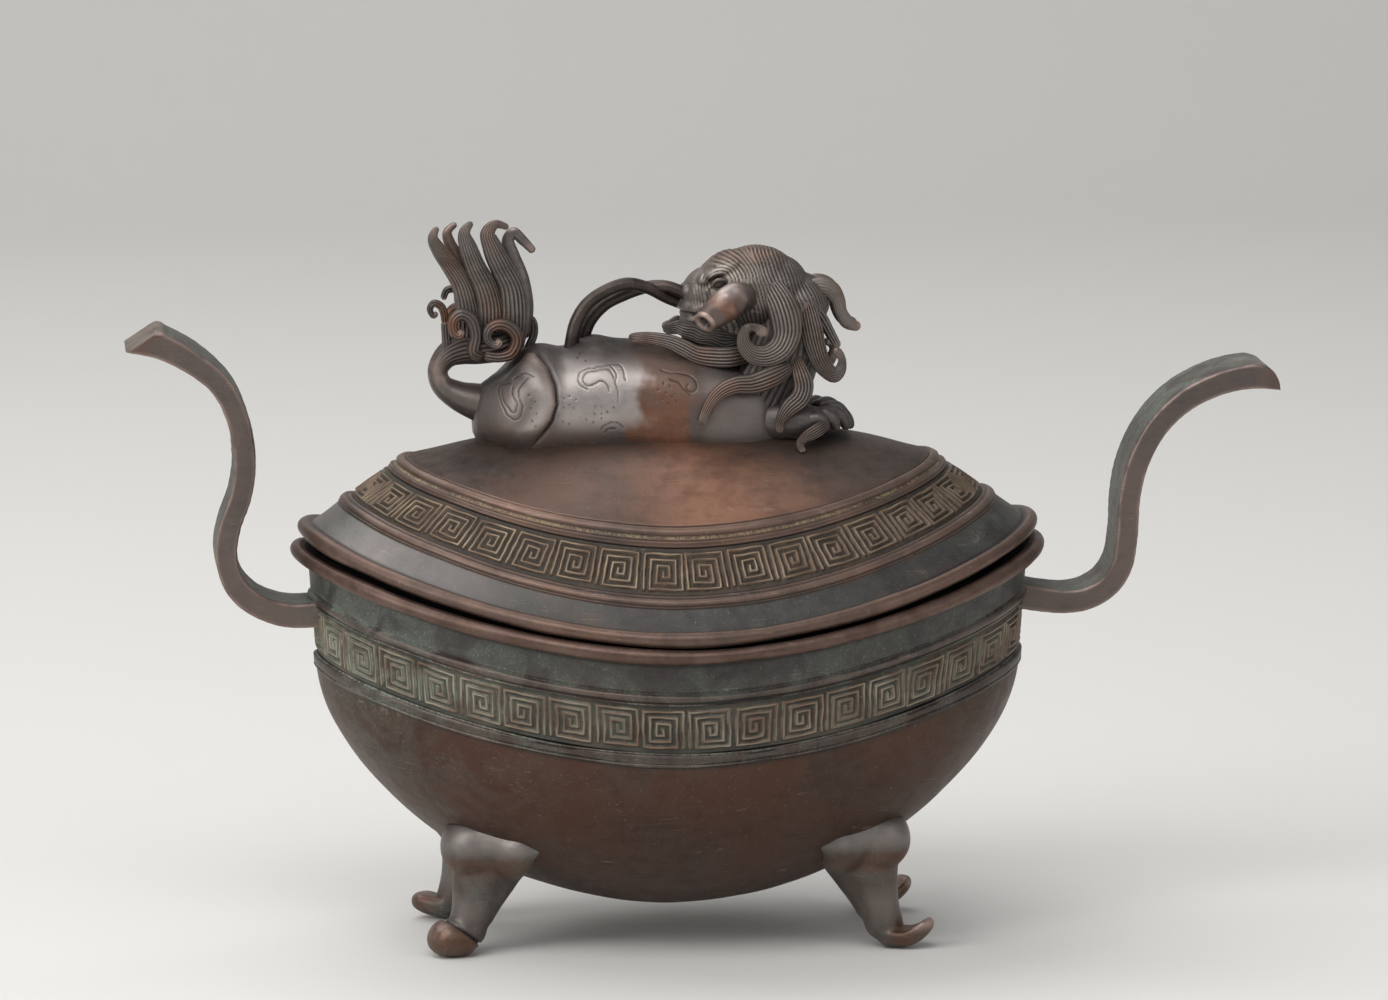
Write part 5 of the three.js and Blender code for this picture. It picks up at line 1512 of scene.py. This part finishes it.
class Finish:
    """A material whose nodes are added one by one."""

    def __init__(self, name):
        self.material = bpy.data.materials.new(name)
        self.material.use_nodes = True
        self.tree = self.material.node_tree
        self.tree.nodes.clear()

    def add(self, kind, settings=None, inputs=None, output=0):
        node = self.tree.nodes.new(kind)
        for key, value in (settings or {}).items():
            setattr(node, key, value)
        for key, value in (inputs or {}).items():
            if isinstance(value, Level):
                self.tree.links.new(value.socket, node.inputs[key])
            else:
                node.inputs[key].default_value = value
        return Level(self, node.outputs[output]) if node.outputs else None

    def place(self):
        return self.add("ShaderNodeTexCoord", output="Object")

    def layer(self, name):
        return self.add("ShaderNodeAttribute", {"attribute_name": name}, output="Fac")

    def noise(self, place, scale, detail=3.0, roughness=0.55, distortion=0.0):
        return self.add("ShaderNodeTexNoise", None, {
            "Vector": place, "Scale": scale, "Detail": detail, "Roughness": roughness,
            "Distortion": distortion,
        })

    def mix(self, first, second, share):
        """From the first colour to the second."""
        return self.add("ShaderNodeMix", {"data_type": "RGBA"}, {0: share, 6: first, 7: second},
                        output=2)

    def stretched(self, place, factors):
        return self.add("ShaderNodeVectorMath", {"operation": "MULTIPLY"}, {0: place, 1: factors})

    def surface(self, **inputs):
        """Closes the material with one shader."""
        names = {key.replace("_", " "): value for key, value in inputs.items()}
        shader = self.add("ShaderNodeBsdfPrincipled", None, names)
        self.add("ShaderNodeOutputMaterial", None, {"Surface": shader})
        return self.material


SLATE = tone("57514e")
DARK_SLATE = tone("322e2d")
RED_BROWN = tone("5f4538")
DEEP_BROWN = tone("36271f")
COPPER = tone("634b3f")
WORN_PINK = tone("b79f95")
# Grey of painted highlights and sheen, and of paler patina
PALE_PATINA_AND_SHEEN = tone("b3aaa6")
VERDIGRIS = tone("8c9a8c")
PALE_GREEN = tone("686e66")
DRY_DUST = tone("a9976c")
MINT = tone("94a294")
HOLLOW_DARK = tone("1a1614")
# Near black of painted shade and of darker places
SHADE_AND_PATINA_BLACK = tone("141110")


def bronze(name, cool=SLATE, warm=RED_BROWN, deposit=DRY_DUST, wear=WORN_PINK, crest_wear=0.55,
           grain=1.0):
    """Old bronze: mottled patina, worn crests, darker hollows and cut lines, painted highlights and
    painted shade, and what time left on it.
    """
    finish = Finish(name)
    place = finish.place()
    clouds = finish.noise(place, 30, 5, 0.6, 0.5)
    patches = finish.noise(place, 85, 5, 0.62, 0.9)
    mottle = finish.noise(place, 230, 4, 0.65)
    speckle = finish.noise(place, 1500, 2, 0.6)
    streaks = finish.noise(finish.stretched(place, (0.25, 0.25, 1.6)), 300, 3, 0.7, 0.6)
    hairlines = finish.noise(finish.stretched(place, (0.1, 0.14, 1.6)), 210, 1, 0.5, 0.4)
    scratches = (1 - abs(hairlines - 0.5) * 70).held() * (patches + mottle).between(1.08, 1.2)
    brown = (finish.layer("brown") + (clouds - 0.5) * 1.1 + (mottle - 0.5) * 0.4).held()
    colour = finish.mix(cool, warm, brown)
    darker = finish.mix(DARK_SLATE, DEEP_BROWN, brown)
    shade = (0.56 - clouds) * 2.0 + (mottle - 0.5) * 1.3 + (streaks - 0.5) * 0.9
    colour = finish.mix(colour, darker, shade.held() * 0.85)
    # Pale layer: painted highlights and sheen where light would shine on the metal, and in a few places
    # paler patina.
    pale = finish.layer("pale") * (0.75 + (clouds - 0.5) * 1.4 + (mottle - 0.5) * 0.8)
    colour = finish.mix(colour, PALE_PATINA_AND_SHEEN, pale.held())
    green = finish.layer("green") * patches.between(0.36, 0.62) + speckle.between(0.62, 0.78) * 0.06
    colour = finish.mix(colour, PALE_GREEN, (green * 0.75).held())
    colour = finish.mix(colour, VERDIGRIS, (green * speckle.between(0.5, 0.7) * 0.5).held())
    copper = finish.layer("copper") * (0.1 + clouds * 0.9 + (patches - 0.5) * 1.2)
    colour = finish.mix(colour, COPPER, copper.held() * 0.9)
    dust = (finish.layer("dust") * (patches + speckle).between(0.9, 1.15)).held()
    colour = finish.mix(colour, deposit, dust * 0.85)
    # Hollows and cut lines are darkened; the cut layer also carries painted shade inside the ears.
    deep = (finish.layer("hollow") * 0.8 + finish.layer("cut") * 0.85).held()
    colour = finish.mix(colour, HOLLOW_DARK, deep)
    crest = finish.layer("crest").between(0.25, 1.0)
    uneven = (patches + mottle).between(0.75, 1.2) * 0.75 + clouds.between(0.42, 0.62) * 0.25
    worn = crest * crest_wear * uneven
    colour = finish.mix(colour, wear, worn.held())
    tip = finish.layer("tip") * (patches + mottle).between(0.7, 1.15)
    colour = finish.mix(colour, WORN_PINK, (tip * 0.75 + scratches * 0.25).held())
    flecks = speckle.between(0.68, 0.74) * 0.3
    colour = finish.mix(colour, VERDIGRIS, flecks * (1 - deep))
    # Darkening towards near black: painted shade in the haunch's crease, on the beard and at the ends
    # of the dome, and darker places elsewhere.
    soot = finish.layer("soot")
    colour = finish.mix(colour, SHADE_AND_PATINA_BLACK, soot * (0.6 + (mottle - 0.5) * 1.2 + patches * 0.5))
    roughness = 0.46 + (mottle - 0.5) * 0.3 + dust * 0.2 + green * 0.2
    roughness = roughness + soot * 0.3 - worn * 0.14 - pale * 0.08
    metallic = 0.7 - dust * 0.5 - green * 0.35 - deep * 0.3
    height = speckle * 0.35 + mottle * 0.5 + streaks * 0.25 - scratches * 0.4
    bump = finish.add("ShaderNodeBump", None,
                      {"Strength": 0.35 * grain, "Distance": 0.0004, "Height": height})
    return finish.surface(Base_Color=colour, Roughness=roughness.held(), Metallic=metallic.held(),
                          Normal=bump)


def fret_bronze(name, crest_wear_and_sheen, flank, dirt, deposit):
    """Fret lines: crests that are worn and painted with a highlight, what settled along their feet, and
    dirt between them.
    """
    finish = Finish(name)
    place = finish.place()
    clouds = finish.noise(place, 40, 4, 0.6, 0.5)
    patches = finish.noise(place, 110, 5, 0.62, 0.6)
    mottle = finish.noise(place, 420, 4, 0.6)
    speckle = finish.noise(place, 1500, 2, 0.6)
    line = finish.layer("line")
    green = (finish.layer("green") * (clouds + patches).between(0.75, 1.2)).held()
    floor = finish.mix(dirt, flank, (clouds + mottle).between(0.85, 1.3) * 0.5)
    colour = finish.mix(floor, flank, line.between(0.1, 0.7))
    # Pale on the crests: wear, and a painted highlight.
    crest = line.between(0.72, 1.0) * (patches * 0.6 + mottle * 0.5 + green * 0.35)
    colour = finish.mix(colour, crest_wear_and_sheen, crest.held())
    settled = line.between(0.0, 0.25) * (1 - line.between(0.35, 0.8))
    settled = settled * (patches + mottle).between(0.85, 1.2) * (0.35 + green * 0.65)
    colour = finish.mix(colour, deposit, settled.held() * 0.75)
    colour = finish.mix(colour, deposit, green * 0.22)
    colour = finish.mix(colour, deposit, speckle.between(0.66, 0.74) * 0.35)
    roughness = 0.6 - line * 0.14 + (mottle - 0.5) * 0.25 + green * 0.1
    metallic = 0.4 + line * 0.3 - green * 0.3
    bump = finish.add("ShaderNodeBump", None,
                      {"Strength": 0.3, "Distance": 0.0004, "Height": speckle * 0.4 + mottle * 0.6})
    return finish.surface(Base_Color=colour, Roughness=roughness.held(), Metallic=metallic.held(),
                          Normal=bump)


def paper(name, code):
    """Pale paper that is seen from its front only."""
    finish = Finish(name)
    fibre = finish.noise(finish.place(), 30, 4, 0.6)
    colour = finish.mix(tone(code), tone("dedcd8"), fibre * 0.3)
    front = finish.add("ShaderNodeBsdfPrincipled", None, {"Base Color": colour, "Roughness": 0.9})
    clear = finish.add("ShaderNodeBsdfTransparent")
    behind = finish.add("ShaderNodeNewGeometry", output="Backfacing")
    both = finish.add("ShaderNodeMixShader", None, {0: behind, 1: front, 2: clear})
    finish.add("ShaderNodeOutputMaterial", None, {"Surface": both})
    return finish.material


# Stage, light and camera


def build_stage():
    """A pale floor that curves up into a pale backdrop."""
    half_width, front, back, bend, wall = 3.0, -3.0, 1.6, 0.8, 2.6
    profile = [(front, 0), (back, 0)]
    for turn in np.linspace(0.1, math.pi / 2, 14):
        profile.append((back + bend * math.sin(turn), bend * (1 - math.cos(turn))))
    profile.append((back + bend, wall))
    points, faces = [], []
    for y, z in profile:
        points += [(-half_width, y, z), (half_width, y, z)]
    for i in range(len(profile) - 1):
        faces.append([2 * i, 2 * i + 1, 2 * i + 3, 2 * i + 2])
    mesh = bpy.data.meshes.new("floor")
    mesh.from_pydata(points, [], faces)
    mesh.polygons.foreach_set("use_smooth", [True] * len(mesh.polygons))
    mesh.materials.append(paper("pale_paper", "e2e0dc"))
    floor = bpy.data.objects.new("floor", mesh)
    bpy.context.scene.collection.objects.link(floor)


def add_lamp(name, place, size, power):
    """A soft rectangular lamp that looks at the middle of the burner."""
    lamp = bpy.data.lights.new(name, "AREA")
    lamp.shape = "RECTANGLE"
    lamp.size, lamp.size_y = size
    lamp.energy = power
    holder = bpy.data.objects.new(name, lamp)
    holder.location = place
    heading = Vector((0, 0, 0.1)) - Vector(place)
    holder.rotation_euler = heading.to_track_quat("-Z", "Y").to_euler()
    bpy.context.scene.collection.objects.link(holder)


# Name, place, size and watts of each lamp
LAMPS = [
    ("key", (-1.6, -1.1, 1.0), (1.1, 1.2), 17),
    ("front_top", (-0.35, -1.2, 1.55), (1.4, 1.0), 15),
    ("overhead", (-0.5, 0.5, 1.7), (1.7, 1.4), 17),
    ("fill", (1.5, -1.3, 0.9), (1.2, 1.2), 5),
]


def light_stage():
    for name, place, size, power in LAMPS:
        add_lamp(name, place, size, power)
    world = bpy.data.worlds.new("room")
    world.use_nodes = True
    background = world.node_tree.nodes["Background"]
    background.inputs["Color"].default_value = (0.95, 0.97, 1.0, 1)
    background.inputs["Strength"].default_value = 0.3
    bpy.context.scene.world = world


def set_camera():
    """Looks from the photograph's side: a little left of the front and above the rim."""
    turn, climb, distance = math.radians(-5.3), math.radians(9), 2.2
    seen_width, aim_height, aim_right = 0.3817, 0.1215, 0.00715
    right = Vector((math.cos(turn), math.sin(turn), 0))
    target = Vector((VESSEL_X, 0, aim_height)) + right * aim_right
    level = math.cos(climb)
    away = Vector((math.sin(turn) * level, -math.cos(turn) * level, math.sin(climb)))
    lens = bpy.data.cameras.new("camera")
    lens.sensor_width = 36
    lens.lens = 36 * distance / seen_width
    camera = bpy.data.objects.new("camera", lens)
    camera.location = target + away * distance
    camera.rotation_euler = (-away).to_track_quat("-Z", "Y").to_euler()
    bpy.context.scene.collection.objects.link(camera)
    bpy.context.scene.camera = camera


def build_burner():
    bowl = bronze("bowl_patina", tone("4a4745"), tone("4e362a"), MINT, tone("75625a"), 0.55)
    lid = bronze("lid_patina", tone("484543"), tone("8a6552"), DRY_DUST, tone("7d675c"), 0.55)
    straps = bronze("handle_patina", tone("5c534f"), tone("64493b"), MINT, crest_wear=0.4)
    skin = bronze("lion_patina", tone("625b58"), tone("7d5743"), grain=0.8)
    hair = bronze("hair_patina", tone("766e69"), tone("796053"), wear=tone("aa9d95"), crest_wear=0.8)
    cord = bronze("ribbon_patina", tone("2f2b29"), tone("40342e"), wear=tone("7d6a61"), crest_wear=0.35)
    green_fret = fret_bronze("bowl_fret_patina", tone("9a9a88"), tone("634a3c"), tone("3b3b35"),
                             tone("8f9c8c"))
    dusty_fret = fret_bronze("lid_fret_patina", tone("a3957c"), tone("604d40"), tone("37312b"),
                             tone("a0957a"))
    build_bowl(bowl)
    build_bowl_fret(green_fret)
    build_lid(lid)
    build_lid_fret(dusty_fret)
    build_handle("strap_left", LEFT_STRAP, -1, 6.5, 1.0, 0.1, straps, ["handle_left"])
    build_handle("strap_right", RIGHT_STRAP, 1, 0.2, 8, 0.9, straps, ["handle_right"])
    build_foot("leg_front_left", "foot_front_left", -1, -1, ROUND_TOE, 0, TOE_CREASE, straps)
    build_foot("leg_front_right", "foot_front_right", 1, -1, POINTED_TOE, 0.3, None, straps)
    build_foot("leg_back_left", "foot_back_left", -1, 1, LOW_TOE, 0.3, None, straps)
    build_foot("leg_back_right", "foot_back_right", 1, 1, HIGH_TOE, 0.3, None, straps)
    build_lion_body(skin)
    build_lion_neck(hair)
    build_lion_head(hair)
    build_eyes(skin)
    build_ears(skin)
    build_beard(hair)
    build_forelegs(skin)
    build_mane(hair)
    build_plume(hair)
    build_tail(skin)
    build_ribbon(cord)


set_camera()
build_stage()
light_stage()
build_burner()
bpy.context.scene.view_settings.view_transform = "Standard"
